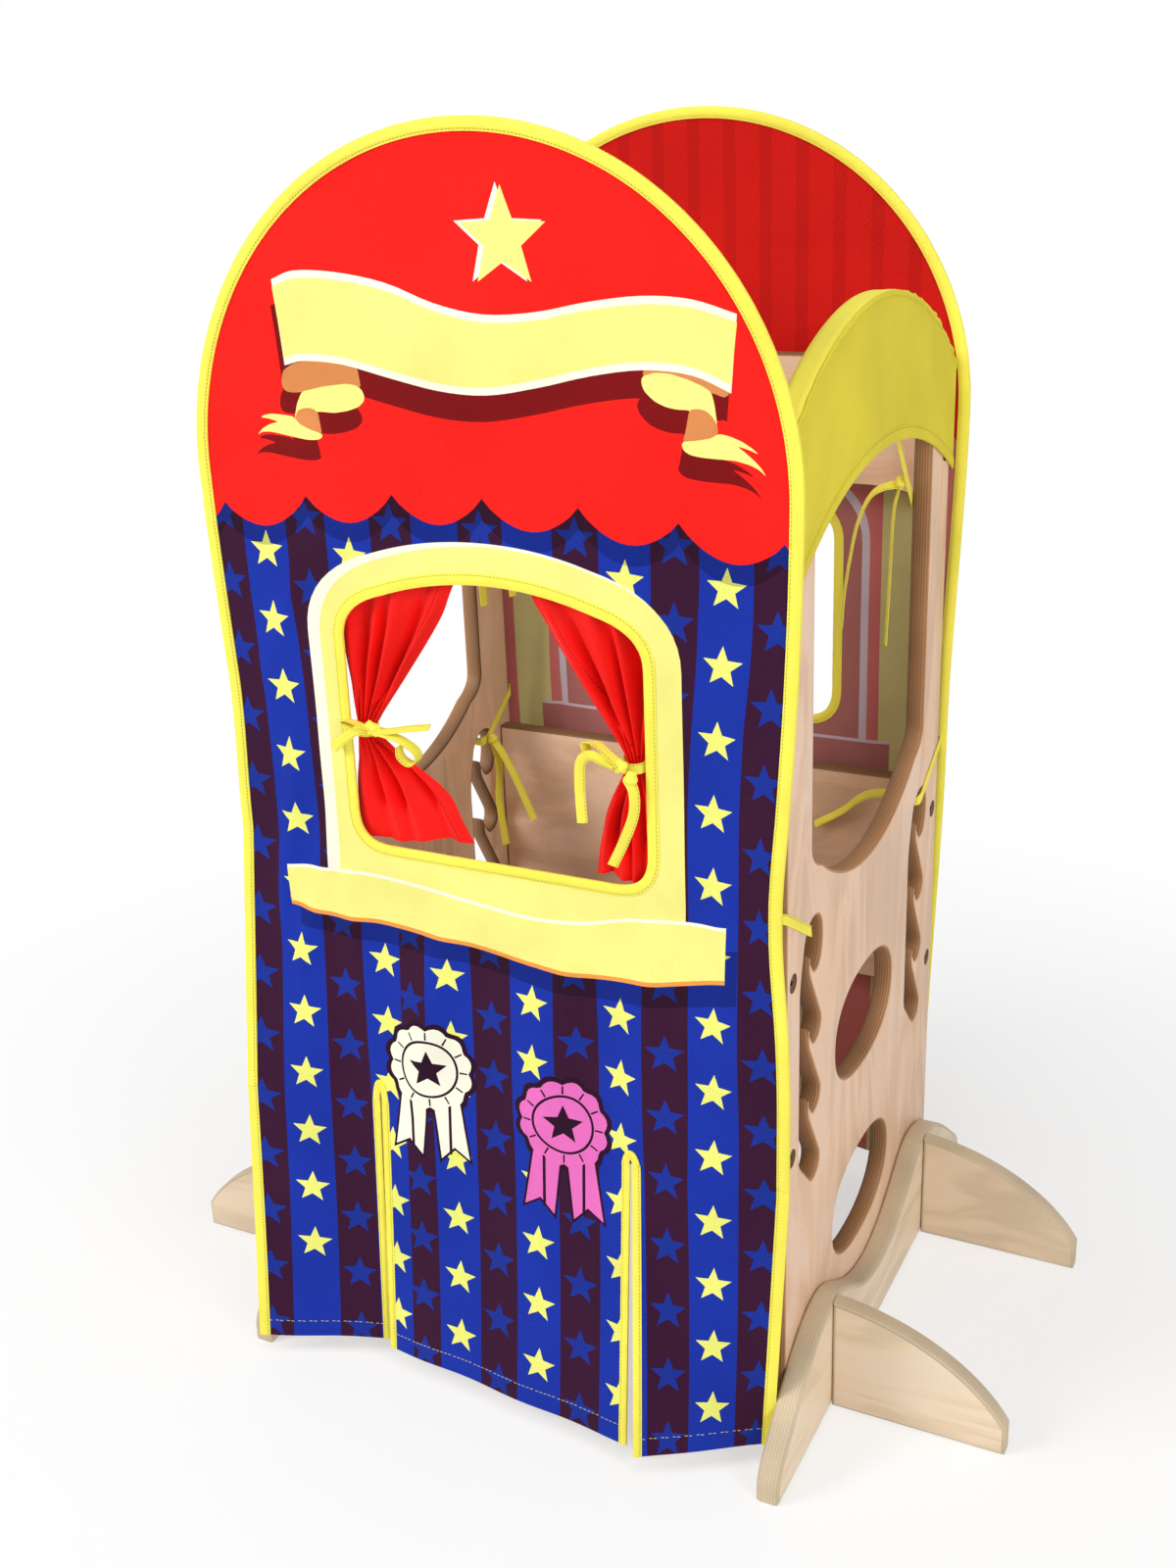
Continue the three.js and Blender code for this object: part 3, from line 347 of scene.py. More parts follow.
def curve_through(points, steps):
    """Smooth curve through points: a Catmull-Rom spline with so many steps between two of them."""
    p = np.asarray(points, float)
    p = np.vstack([2 * p[0] - p[1], p, 2 * p[-1] - p[-2]])
    t = np.linspace(0, 1, steps, endpoint=False)[:, None]
    out = [0.5 * (2 * b + (c - a) * t + (2 * a - 5 * b + 4 * c - d) * t ** 2 + (3 * b - a - 3 * c + d) * t ** 3)
           for a, b, c, d in zip(p, p[1:], p[2:], p[3:])]
    return np.vstack([*out, p[-2:-1]])


def even_steps(points, step):
    """The same line with points about a step apart."""
    p = np.asarray(points, float)
    along = np.r_[0, np.cumsum(np.linalg.norm(np.diff(p, axis=0), axis=1))]
    stations = np.linspace(0, along[-1], max(3, int(round(along[-1] / step)) + 1))
    return np.column_stack([np.interp(stations, along, p[:, k]) for k in range(p.shape[1])])


def sheet_of_rows(name, points, uvs, corners):
    """A sheet over rows of points (rows, count, 3); corners holds the steps (row, place) round each face."""
    rows, count = points.shape[:2]
    faces = np.array([[(k + a) * count + j + b for a, b in corners]
                      for k in range(rows - 1) for j in range(count - 1)])
    return mesh_piece(name, points.reshape(-1, 3), faces, np.reshape(uvs, (-1, 2))[faces.ravel()] * MM)


def skin(name, rings, closed=False):
    """Skin over rings of points (stations, ring, 3), with its UV in metres along and round it."""
    count, ring = rings.shape[:2]
    along = np.r_[0, np.cumsum(np.linalg.norm(np.diff(rings, axis=0), axis=2).mean(1))] * MM
    along = np.r_[along, along[-1] + np.linalg.norm(rings[-1] - rings[0], axis=1).mean() * MM]
    sides = np.linalg.norm(np.roll(rings[0], -1, axis=0) - rings[0], axis=1)
    round_it = np.r_[0, np.cumsum(sides)] * MM
    faces, uvs = [], []
    for i in range(count if closed else count - 1):
        j = (i + 1) % count
        for k in range(ring):
            n = (k + 1) % ring
            faces.append((i * ring + k, j * ring + k, j * ring + n, i * ring + n))
            uvs += [(along[i], round_it[k]), (along[i + 1], round_it[k]),
                    (along[i + 1], round_it[k + 1]), (along[i], round_it[k + 1])]
    if not closed:
        for at, station, order in ((0, 0, 1), (count - 1, count - 1, -1)):
            faces.append(tuple(at * ring + k for k in range(ring))[::order])
            uvs += [(along[station], round_it[k]) for k in range(ring)][::order]
    return mesh_piece(name, rings.reshape(-1, 3), faces, uvs)


def tape(name, line, across, out, profile, closed=False, pucker=0.0, seed=0.0):
    """Tape swept along a line; profile holds (u across, v out) of its section, in millimetres."""
    line, across, out = (np.asarray(a, float) for a in (line, across, out))
    across, out = np.broadcast_to(across, line.shape), np.broadcast_to(out, line.shape)
    along = np.r_[0, np.cumsum(np.linalg.norm(np.diff(line, axis=0), axis=1))]
    wave = pucker * (np.sin(along * 0.31 + seed) + 0.6 * np.sin(along * 0.83 + 2 * seed))
    profile = np.asarray(profile, float)
    u, v = profile[:, 0], profile[:, 1]
    reach = np.abs(u).max()
    bend = wave[:, None] * (1 - (u / reach) ** 2 * 0.5)[None]
    rings = (line[:, None] + across[:, None] * u[None, :, None]
             + out[:, None] * (v[None] + bend)[..., None])
    return skin(name, rings, closed)


def tape_profile(width, thick, edge, stitches=(), groove=0.35, count=13):
    """Closed section of a tape: thick in the middle, thin at its edges, dipping along its rows of stitches."""
    u = np.linspace(-width / 2, width / 2, count)
    v = edge / 2 + (thick - edge) / 2 * (1 - (2 * u / width) ** 2)
    for place in stitches:
        v = v - groove * np.exp(-((u - place) / 1.1) ** 2)
    return [*zip(u, v), *zip(u[::-1], -v[::-1])]


def rounded(points, radius, steps=5):
    """Closed outline with each corner rounded."""
    p = np.asarray(points, float)
    out = []
    for before, at, after in zip(np.roll(p, 1, axis=0), p, np.roll(p, -1, axis=0)):
        a, b = before - at, after - at
        a *= min(radius, np.linalg.norm(a) / 2.05) / max(np.linalg.norm(a), 1e-9)
        b *= min(radius, np.linalg.norm(b) / 2.05) / max(np.linalg.norm(b), 1e-9)
        for t in np.linspace(0, 1, steps + 1):
            out.append(at + a * (1 - t) ** 2 + b * t ** 2)
    return np.array(out)


def box(u0, v0, u1, v1):
    return [(u0, v0), (u1, v0), (u1, v1), (u0, v1)]


def arc(centre_u, centre_v, radius, first, last, step=5.0):
    """Points of an arc, its angles in radians from +u."""
    count = max(2, int(abs(last - first) * radius / step) + 1)
    angles = np.linspace(first, last, count)
    return [(centre_u + radius * math.cos(a), centre_v + radius * math.sin(a)) for a in angles]


def bezier(*handles, steps=14):
    """Points of a Bezier curve of any degree."""
    p = np.array(handles, float)
    t = np.linspace(0, 1, steps + 1)[:, None]
    while len(p) > 1:
        p = [a * (1 - t) + b * t for a, b in zip(p, p[1:])]
    return [tuple(q) for q in p[0]]


def plank(name, outlines, middle, thickness, axis, rounding):
    """A wooden piece: outlines filled, given a thickness along x or y, its edges rounded over."""
    curve = bpy.data.curves.new(name, "CURVE")
    curve.dimensions, curve.fill_mode, curve.bevel_resolution = "2D", "BOTH", 2
    curve.extrude, curve.bevel_depth, curve.offset = (
        size * MM for size in (thickness / 2 - rounding, rounding, -rounding))
    for outline in outlines:
        spline = curve.splines.new("POLY")
        spline.points.add(len(outline) - 1)
        for point, (u, v) in zip(spline.points, outline):
            point.co = (u * MM, v * MM, 0, 1)
        spline.use_cyclic_u = True
    piece = bpy.data.objects.new(name, curve)
    bpy.context.scene.collection.objects.link(piece)
    pick(piece)
    bpy.ops.object.convert(target="MESH")
    piece = bpy.context.object
    if axis == "x":
        turn, place = Matrix(((0, 0, 1), (1, 0, 0), (0, 1, 0))), row((middle, 0, 0))
    else:
        turn, place = Matrix(((1, 0, 0), (0, 0, -1), (0, 1, 0))), row((0, middle, 0))
    piece.data.transform(Matrix.Translation(place) @ turn.to_4x4())
    clean(piece)
    return piece


# Materials --------------------------------------------------------------------------------------

def add(nodes, kind, inputs=(), stops=(), **settings):
    """Adds a node with its settings; an input is linked where a node or a socket is given, and else set."""
    made = nodes.new(f"ShaderNode{kind}")
    for name, value in settings.items():
        setattr(made, name, value)
    for position, colour in stops:
        ramp = made.color_ramp.elements
        found = next((e for e in ramp if abs(e.position - position) < 1e-6), None) or ramp.new(position)
        found.color = (*colour, 1)
    for name, value in inputs.items() if isinstance(inputs, dict) else enumerate(inputs):
        if isinstance(value, bpy.types.Node):
            value = value.outputs[0]
        if isinstance(value, bpy.types.NodeSocket):
            nodes.id_data.links.new(value, made.inputs[name])
        else:
            made.inputs[name].default_value = value
    return made


FINISHES = {}


def finish_for(name, recipe, *facts):
    """The material of that name, made once; its recipe adds the nodes and returns the last one."""
    if name not in FINISHES:
        material = FINISHES[name] = bpy.data.materials.new(name)
        material.use_nodes = True
        nodes = material.node_tree.nodes
        nodes.clear()
        add(nodes, "OutputMaterial", {"Surface": recipe(nodes, *facts)})
    return FINISHES[name]


def shade(colour, share):
    """A colour taken darker (share under 1) or towards white (over 1)."""
    if share <= 1:
        return tuple(c * share for c in colour)
    return tuple(c + (1 - c) * (share - 1) for c in colour)


def along_grain(grain, along, across):
    """Scale of a pattern that is drawn out along the grain."""
    return tuple(along if k == grain else across for k in range(3))


def plywood_face(nodes, colour, grain, fleck):
    """Rotary cut, sanded and lacquered face veneer: broad soft figure, fine pores along the grain."""
    where = add(nodes, "TexCoord").outputs["Object"]
    broad = add(nodes, "Mapping", {"Vector": where, "Scale": along_grain(grain, 2.2, 11)})  # figure 90 mm wide
    figure = add(nodes, "TexNoise", {"Vector": broad, "Scale": 1.0, "Detail": 3.0, "Distortion": 1.4})
    rings = add(nodes, "Math", (figure, 26.0), operation="MULTIPLY")
    rings = add(nodes, "Math", (rings,), operation="SINE")
    fine = add(nodes, "Mapping", {"Vector": where, "Scale": along_grain(grain, 14, 520)})  # pores 2 by 70 mm
    pores = add(nodes, "TexNoise", {"Vector": fine, "Scale": 1.0, "Detail": 4.0, "Roughness": 0.65})
    cloud = add(nodes, "TexNoise", {"Vector": where, "Scale": 7.0, "Detail": 2.0})
    tone = add(nodes, "Math", (rings, 0.2, cloud), operation="MULTIPLY_ADD")
    tone = add(nodes, "Math", (pores, 0.45, tone), operation="MULTIPLY_ADD")
    wood = add(nodes, "ValToRGB", (tone,), ((0.0, shade(colour, 0.74)), (0.45, shade(colour, 0.86)),
                                            (0.72, colour), (1.0, shade(colour, 1.12))))
    rays = add(nodes, "Mapping", {"Vector": where, "Scale": along_grain(grain, 90, 420)})  # flecks 11 mm long
    specks = add(nodes, "TexVoronoi", {"Vector": rays, "Scale": 1.0})
    specks = add(nodes, "MapRange", {"Value": specks, "From Min": 0.02, "From Max": 0.22, "To Min": fleck,
                                     "To Max": 0.0})
    wood = add(nodes, "Mix", {0: specks, 6: wood, 7: (*shade(colour, 0.55), 1)}, data_type="RGBA").outputs[2]
    bump = add(nodes, "Bump", {"Strength": 0.12, "Distance": 0.0004, "Height": pores})
    gloss = add(nodes, "MapRange", {"Value": pores, "To Min": 0.42, "To Max": 0.6})
    return add(nodes, "BsdfPrincipled", {"Base Color": wood, "Roughness": gloss, "IOR": 1.5, "Coat Weight": 0.15,
                                         "Coat Roughness": 0.35, "Normal": bump})


def plywood_edge(nodes, colour, thickness_axis, ply, contrast, shade_span):
    """Plywood edge: thin plies, long grain and end grain by turns; where a shade span is given, painted shade
    darkens it towards the inside and painted light makes it paler towards the outside.
    """
    where = add(nodes, "TexCoord").outputs["Object"]
    wobble = add(nodes, "TexNoise", {"Vector": where, "Scale": 30.0, "Detail": 2.0})
    place = add(nodes, "SeparateXYZ", (where,)).outputs[thickness_axis]
    across = add(nodes, "Math", (wobble, 0.6 * MM, place), operation="MULTIPLY_ADD")
    plies = add(nodes, "Math", (across, math.tau / (ply * MM)), operation="MULTIPLY")
    plies = add(nodes, "Math", (plies,), operation="SINE")
    grain = add(nodes, "TexNoise", {"Vector": where, "Scale": 420.0, "Detail": 3.0})
    burn = add(nodes, "TexNoise", {"Vector": where, "Scale": 14.0, "Detail": 1.0})
    tone = add(nodes, "Math", (plies, contrast, burn), operation="MULTIPLY_ADD")
    tone = add(nodes, "Math", (grain, 0.3, tone), operation="MULTIPLY_ADD")
    wood = add(nodes, "ValToRGB", (tone,), ((0.1, shade(colour, 0.6)), (0.55, shade(colour, 0.86)), (0.78, colour),
                                            (1.0, [min(1, c * 1.2) for c in colour])))
    # painted light and shade: the edge darkens towards the inside face and pales towards the outer face
    if shade_span:
        place = add(nodes, "Math", (place,), operation="ABSOLUTE")
        pale = add(nodes, "MapRange", {"Value": place, "From Min": shade_span[0] * MM, "From Max": shade_span[1] * MM,
                                       "To Min": 0.75, "To Max": 1.5})
        wood = add(nodes, "VectorMath", {0: wood, "Scale": pale}, operation="SCALE")
    bump = add(nodes, "Bump", {"Strength": 0.12, "Distance": 0.0004, "Height": tone})
    return add(nodes, "BsdfPrincipled", {"Base Color": wood, "Roughness": 0.6, "IOR": 1.5, "Normal": bump})


def woven_cloth(nodes, colour, thread, relief, roughness, sheen, stitch):
    """Plain woven cloth on UV in metres: threads over and under each other, fuzz and uneven dye.

    Real threads lie 0.3 to 0.5 mm apart, which doesn't show at this distance, so they are drawn coarser.
    Without a colour the cloth takes its print's. A row of stitches lies so many millimetres round the cloth.
    """
    uv = add(nodes, "UVMap", uv_map="UVMap")
    split = add(nodes, "SeparateXYZ", (uv,))
    waves = []
    for way in split.outputs[:2]:
        turns = add(nodes, "Math", (way, math.tau / (thread * MM)), operation="MULTIPLY")
        waves.append(add(nodes, "Math", (turns,), operation="SINE"))
    weave = add(nodes, "Math", waves, operation="MULTIPLY")
    slub = add(nodes, "TexNoise", {"Vector": uv, "Scale": 260.0, "Detail": 3.0})
    dye = add(nodes, "TexNoise", {"Vector": uv, "Scale": 9.0, "Detail": 3.0})
    height = add(nodes, "Math", (slub, 1.2, weave), operation="MULTIPLY_ADD")
    tone = add(nodes, "Math", (height, 0.06, dye), operation="MULTIPLY_ADD")
    tone = add(nodes, "MapRange", {"Value": tone, "From Min": 0.35, "From Max": 0.75, "To Min": 0.86,
                                   "To Max": 1.03})
    ink = colour or add(nodes, "VertexColor", layer_name="print")
    dyed = add(nodes, "VectorMath", {0: ink, "Scale": tone}, operation="SCALE")
    if stitch:
        along = add(nodes, "Math", (split.outputs[0], 1 / STITCH_PITCH), operation="MULTIPLY")
        dash = add(nodes, "Math", (along,), operation="FRACT")
        dash = add(nodes, "Math", (dash, STITCH_SHARE), operation="LESS_THAN")
        near = add(nodes, "Math", (split.outputs[1], stitch * MM, STITCH_HALF_WIDTH), operation="COMPARE")
        thread_on = add(nodes, "Math", (near, dash), operation="MULTIPLY")
        dyed = add(nodes, "Mix", {0: thread_on, 6: dyed, 7: (*shade(colour, 0.55), 1)}, data_type="RGBA").outputs[2]
        height = add(nodes, "Math", (thread_on, 2.5, height), operation="MULTIPLY_ADD")
    bump = add(nodes, "Bump", {"Strength": relief, "Distance": 0.0003, "Height": height})
    return add(nodes, "BsdfPrincipled", {"Base Color": dyed, "Roughness": roughness, "IOR": 1.5,
                                         "Sheen Weight": sheen, "Sheen Roughness": 0.5,
                                         "Specular IOR Level": 0.1, "Normal": bump})


def black_oxide_steel(nodes, colour):
    """Machined steel with a thin black oxide: dark metal with soft streaks."""
    where = add(nodes, "TexCoord").outputs["Object"]
    grit = add(nodes, "TexNoise", {"Vector": where, "Scale": 900.0, "Detail": 2.0})
    tint = add(nodes, "ValToRGB", (grit,), ((0.0, shade(colour, 0.6)), (1.0, shade(colour, 1.15))))
    gloss = add(nodes, "MapRange", {"Value": grit, "To Min": 0.28, "To Max": 0.5})
    return add(nodes, "BsdfPrincipled", {"Base Color": tint, "Metallic": 1.0, "Roughness": gloss})


def glass_fibre_rod(nodes):
    """Pultruded glass fibre rod: off-white, waxy, with faint lengthwise fibres."""
    where = add(nodes, "TexCoord").outputs["Object"]
    fibres = add(nodes, "TexNoise", {"Vector": where, "Scale": 600.0, "Detail": 3.0})
    tint = add(nodes, "ValToRGB", (fibres,), ((0.0, hex_colour("#CFC9B8")), (1.0, hex_colour("#EFEBDD"))))
    return add(nodes, "BsdfPrincipled", {"Base Color": tint, "Roughness": 0.4, "IOR": 1.55})


STITCH_PITCH, STITCH_SHARE, STITCH_HALF_WIDTH = 0.0034, 0.72, 0.0005
FLAT = 0.995  # a face whose normal has this share along the thickness is veneer, and else an edge
WOODS = {  # face, its flecks, edge, its ply and their contrast, and between which x the edge runs from painted shade inside to painted light outside
    # Beech: a warm face with short dark flecks and a brown striped edge, with painted shade on it towards the
    # inside
    "tower": ("lacquered_beech_ply_face", 0.7, "routed_beech_ply_edge", 2.6, 0.42, (INNER_X, OUTER_X)),
    # Birch: a pale, nearly plain face and a pale edge, its plies just showing
    "birch": ("lacquered_birch_ply_face", 0.12, "sanded_birch_ply_edge", 2.9, 0.12, None),
}
CLOTHS = {  # colour's setting, thread, relief, roughness and sheen
    "printed_polyester_canvas": (None, 1.5, 0.5, 0.92, 0.02),  # flat and matt, its threads just showing
    "yellow_twill_tape": ("yellow", 1.2, 0.4, 0.82, 0.05),  # closer threads, a soft light along its folds
    "yellow_polyester_cloth": ("cover", 1.4, 0.4, 0.88, 0.05),  # matt, dyed through, in the cover yellow, which is darkened as painted shade
    "red_satin": ("curtain", 1.0, 0.15, 0.5, 0.04),  # smooth, with broad soft lights on its folds
}


def woven(kind, stitch=0.0, name=None):
    """A cloth's finish, with a row of stitches that lies so far round it from its first edge."""
    colour, *facts = CLOTHS[kind]
    name = name or kind + (f"_stitched_{stitch * 10:.0f}" if stitch else "")
    return finish_for(name, woven_cloth, colour and tuple(getattr(bpy.context.scene.stand_cloth, colour)), *facts,
                      stitch)


def veneer(piece, wood, axis, grain, node):
    """Finishes a board: veneer on its flat faces with the grain along that axis, plies on its rounded edges."""
    face_name, fleck, edge_name, ply, contrast, shade_span = WOODS[wood]
    thickness_axis, colours = "xyz".index(axis), bpy.context.scene.stand_wood
    for face in piece.data.polygons:
        face.material_index = abs(face.normal[thickness_axis]) <= FLAT
    smooth(piece)
    dress(piece, "tower", f"{wood}_plywood", [node],
          finish_for(f"{face_name}_{'xyz'[grain]}", plywood_face, tuple(getattr(colours, wood)), grain, fleck),
          finish_for(f"{edge_name}_{axis}", plywood_edge, tuple(getattr(colours, f"{wood}_edge")), thickness_axis,
                     ply, contrast, shade_span))


# Wood -------------------------------------------------------------------------------------------

def panel_outline():
    edge = math.asin(HALF_DEPTH / ARCH_RADIUS)
    top = arc(0, ARCH_CENTRE, ARCH_RADIUS, math.pi / 2 - edge, math.pi / 2 + edge)
    return [(-HALF_DEPTH, 0), (HALF_DEPTH, 0), *top]


def side_window_outline():
    w, r = WINDOW_HALF, WINDOW_CORNER
    head = ARCH_RADIUS - HEAD_WOOD
    head_angle, sill_angle = math.asin((w - r) / head), math.asin((w - r) / SILL_RADIUS)
    sill_centre = WINDOW_SILL + SILL_RADIUS
    low = sill_centre - SILL_RADIUS * math.cos(sill_angle)
    high = ARCH_CENTRE + head * math.cos(head_angle)
    line = [(w, low + r), *bezier((w, high - r), (w, high - r / 3), (w - r, high), steps=6)]
    line += arc(0, ARCH_CENTRE, head, math.pi / 2 - head_angle, math.pi / 2 + head_angle)[1:]
    line += bezier((r - w, high), (-w, high - r / 3), (-w, high - r), steps=6)[1:]
    line += bezier((-w, low + r), (-w, low + r / 3), (r - w, low), steps=6)
    line += arc(0, sill_centre, SILL_RADIUS, -math.pi / 2 - sill_angle, -math.pi / 2 + sill_angle)[1:]
    return line + bezier((w - r, low), (w, low + r / 3), (w, low + r), steps=6)[1:-1]


def leaf_outline(height):
    def reach(value):
        return math.copysign(abs(value) ** (2 / LEAF_SQUARENESS), value)
    angles = np.linspace(0, math.tau, 72, endpoint=False)
    return [(LEAF_BACK + LEAF_HALF_WIDTH * reach(math.cos(a)), height + LEAF_HALF_HEIGHT * reach(math.sin(a)))
            for a in angles]


def slot_outline(front):
    points = []
    for notch in range(SLOT_NOTCHES):
        shares = NOTCH_SHARES if notch < SLOT_NOTCHES - 1 else SLOT_HEAD_SHARES
        points += [(front + a * SLOT_WIDTH, SLOT_BOTTOM + (notch + b) * SLOT_PITCH) for a, b in shares]
    points.append((front, SLOT_BOTTOM + SLOT_PITCH / 2))
    return rounded(points, SLOT_ROUNDING)


class STAND_OT_tower(bpy.types.Operator):
    """Makes the tower's side panels and the cross pieces between them."""

    bl_idname = "puppet_stand.tower"
    bl_label = "Tower"

    def execute(self, context):
        outlines = [panel_outline(), side_window_outline(), *map(leaf_outline, LEAF_HEIGHTS),
                    *map(slot_outline, SLOT_FRONTS)]
        for side, way in SIDES:
            panel = plank(f"{side}_tower_side", outlines, way * (INNER_X + OUTER_X) / 2, OUTER_X - INNER_X, "x",
                          PANEL_ROUNDING)
            self.counterbore(panel, way)
            veneer(panel, "tower", "x", 2, f"{side}_side_panel")
        flare = [(-CROSS_REACH, RAIL_BOTTOM - RAIL_FLARE), (-CROSS_REACH + RAIL_FLARE_LENGTH / 2, RAIL_BOTTOM),
                 (-CROSS_REACH + RAIL_FLARE_LENGTH, RAIL_BOTTOM)]
        low_edge = bezier(*flare, steps=8)
        rail = [*low_edge, *[(-u, v) for u, v in reversed(low_edge)], (CROSS_REACH, RAIL_TOP),
                (-CROSS_REACH, RAIL_TOP)]
        panel = box(-CROSS_REACH, LOWER_PANEL_BOTTOM, CROSS_REACH, LOWER_PANEL_TOP)
        for end, ahead in ENDS:
            for node, outline in ((f"{end}_upper_rail", rail), (f"{end}_lower_panel", panel)):
                piece = plank(f"{node}_board", [outline], ahead * CROSS_Y, CROSS_THICKNESS, "y", RAIL_ROUNDING)
                veneer(piece, "tower", "y", 0, node)
        return {"FINISHED"}

    @staticmethod
    def counterbore(panel, way):
        """Sinks the round seats of the cross pieces' screws into the panel's outer face."""
        pick(*[cylinder(COUNTERBORE_RADIUS, 2 * COUNTERBORE_DEPTH, row((way * OUTER_X, y, z)), 32, math.pi / 2)
               for y in (-CROSS_Y, CROSS_Y) for heights in CROSS_SCREW_HEIGHTS.values() for z in heights])
        bpy.ops.object.join()
        combine(panel, bpy.context.object)


def board_outline():
    low, high = 0.5 * BOARD_END, 1.5 * BOARD_END
    outer, inner, waist = 1.3 * LOBE_Y, 0.72 * LOBE_Y, 0.5 * LOBE_Y
    shoulder, shoulder_height = (BOARD_REACH + LOBE_Y) / 2, (LOBE_HEIGHT + WAIST_HEIGHT) / 2
    half = [(BOARD_REACH, 0)]
    half += bezier((BOARD_REACH, low), (BOARD_REACH, BOARD_END), (BOARD_REACH - low, high), steps=6)
    half += bezier((BOARD_REACH - low, high), (shoulder, shoulder_height), (outer, LOBE_HEIGHT),
                   (LOBE_Y, LOBE_HEIGHT), steps=24)[1:]
    half += bezier((LOBE_Y, LOBE_HEIGHT), (inner, LOBE_HEIGHT), (waist, WAIST_HEIGHT), (0, WAIST_HEIGHT),
                   steps=24)[1:-1]
    return [*half, (0, WAIST_HEIGHT), *[(-u, v) for u, v in reversed(half)]]


def fin_outline(way):
    tip = FIN_ROOT + FIN_LENGTH
    low, high = ((FIN_ROOT + a * FIN_LENGTH, b * FIN_HEIGHT) for a, b in ((0.84, 0.62), (0.46, 0.95)))
    back = bezier((tip, FIN_TIP), low, high, (FIN_ROOT, FIN_HEIGHT), steps=28)
    return [(way * u, v) for u, v in [(FIN_ROOT, 0), (tip, 0), *back]]


class STAND_OT_stabilizers(bpy.types.Operator):
    """Makes the two stabilizer boards and their four fins."""

    bl_idname = "puppet_stand.stabilizers"
    bl_label = "Stabilizers"

    def execute(self, context):
        for side, way in SIDES:
            board = plank(f"{side}_stabilizer", [board_outline()], way * (BOARD_INNER + BOARD_OUTER) / 2,
                          BOARD_OUTER - BOARD_INNER, "x", BOARD_ROUNDING)
            veneer(board, "birch", "x", 1, f"{side}_stabilizer_board")
            for end, ahead in ENDS:
                fin = plank(f"{side}_{end}_stabilizer_fin", [fin_outline(way)], ahead * LOBE_Y, FIN_THICKNESS, "y",
                            FIN_ROUNDING)
                veneer(fin, "birch", "y", 0, f"{side}_{end}_fin")
        return {"FINISHED"}


class STAND_OT_screws(bpy.types.Operator):
    """Makes one connector screw with a hexagon socket and copies it to its 24 places."""

    bl_idname = "puppet_stand.screws"
    bl_label = "Connector screws"

    head_radius, head_height, head_rounding = 7.5, 3.0, 0.9
    socket_radius, socket_depth, shank_radius, shank_length = 3.0, 2.2, 3.0, 50.0

    def execute(self, context):
        pattern = self.screw()
        steel = finish_for("black_oxide_steel", black_oxide_steel, tuple(context.scene.stand_wood.steel))
        for side, way in SIDES:
            for end, sign in ENDS:
                for part, heights in CROSS_SCREW_HEIGHTS.items():
                    for level, z in zip(("lower", "upper"), heights):
                        self.place(pattern, f"{side}_{end}_{part}_{level}_screw",
                                   (way * SCREW_SEAT, sign * CROSS_Y, z), way, steel)
                for level, z in zip(("lower", "upper"), FIN_SCREW_HEIGHTS):
                    self.place(pattern, f"{side}_{end}_fin_{level}_screw",
                               (way * (INNER_X - SEAT_GAP), sign * LOBE_Y, z), -way, steel)
        bpy.data.objects.remove(pattern)
        return {"FINISHED"}

    def screw(self):
        """A screw along +Z, its head's seat at the origin: a button head, its socket and the shank."""
        head = cylinder(self.head_radius, self.head_height, (0, 0, self.head_height * MM / 2), 36)
        shape_with(head, "BEVEL", width=self.head_rounding * MM, segments=3, limit_method="ANGLE")
        combine(head, cylinder(self.socket_radius, 2 * self.socket_depth, (0, 0, self.head_height * MM), 6))
        shank_middle = (0.5 - self.shank_length / 2) * MM  # its end lies half a millimetre inside the head
        combine(head, cylinder(self.shank_radius, self.shank_length, (0, 0, shank_middle), 24), "UNION")
        head.data.transform(head.matrix_world)
        head.matrix_world = Matrix.Identity(4)
        smooth(head, 30)
        return head

    @staticmethod
    def place(pattern, node, at, way, steel):
        mesh = pattern.data.copy()
        mesh.transform(Matrix.Translation(row(at)) @ Matrix.Rotation(way * math.pi / 2, 4, "Y"))
        piece = bpy.data.objects.new(f"{node}_steel", mesh)
        bpy.context.scene.collection.objects.link(piece)
        dress(piece, "tower", "screw_steel", [node], steel)


# Cloth: print, mesh and hang ---------------------------------------------------------------------

def smoothstep(t):
    t = np.clip(t, 0, 1)
    return t * t * (3 - 2 * t)


def half_width(z, side):
    """Half width of a printed cloth at a height; the rear one hangs down between the stabilizer boards."""
    z = np.asarray(z, float)
    drop = smoothstep((CLOTH_CENTRE - z) / (CLOTH_CENTRE - TIE_HEIGHT))
    width = CLOTH_RADIUS + (CLOTH_WAIST - CLOTH_RADIUS) * drop
    tuck = BOARD_INNER - 2 * SEAT_GAP - CLOTH_WAIST
    if side > 0:
        width = width + tuck * smoothstep((TIE_HEIGHT - z) / (TIE_HEIGHT - LOBE_HEIGHT))
    return width


def edge_line(side, low, inset, step=7.0):
    """Points (x, z) of a line inside the edge of a printed cloth, from its right foot over the arch."""
    z = np.linspace(low, CLOTH_CENTRE, int((CLOTH_CENTRE - low) / step) + 2)[:-1]
    leg = np.column_stack([half_width(z, side) - inset, z])
    arch = np.array(arc(0, CLOTH_CENTRE, CLOTH_RADIUS - inset, 0, math.pi, step))
    return np.vstack([leg, arch, (leg * (-1, 1))[::-1]])


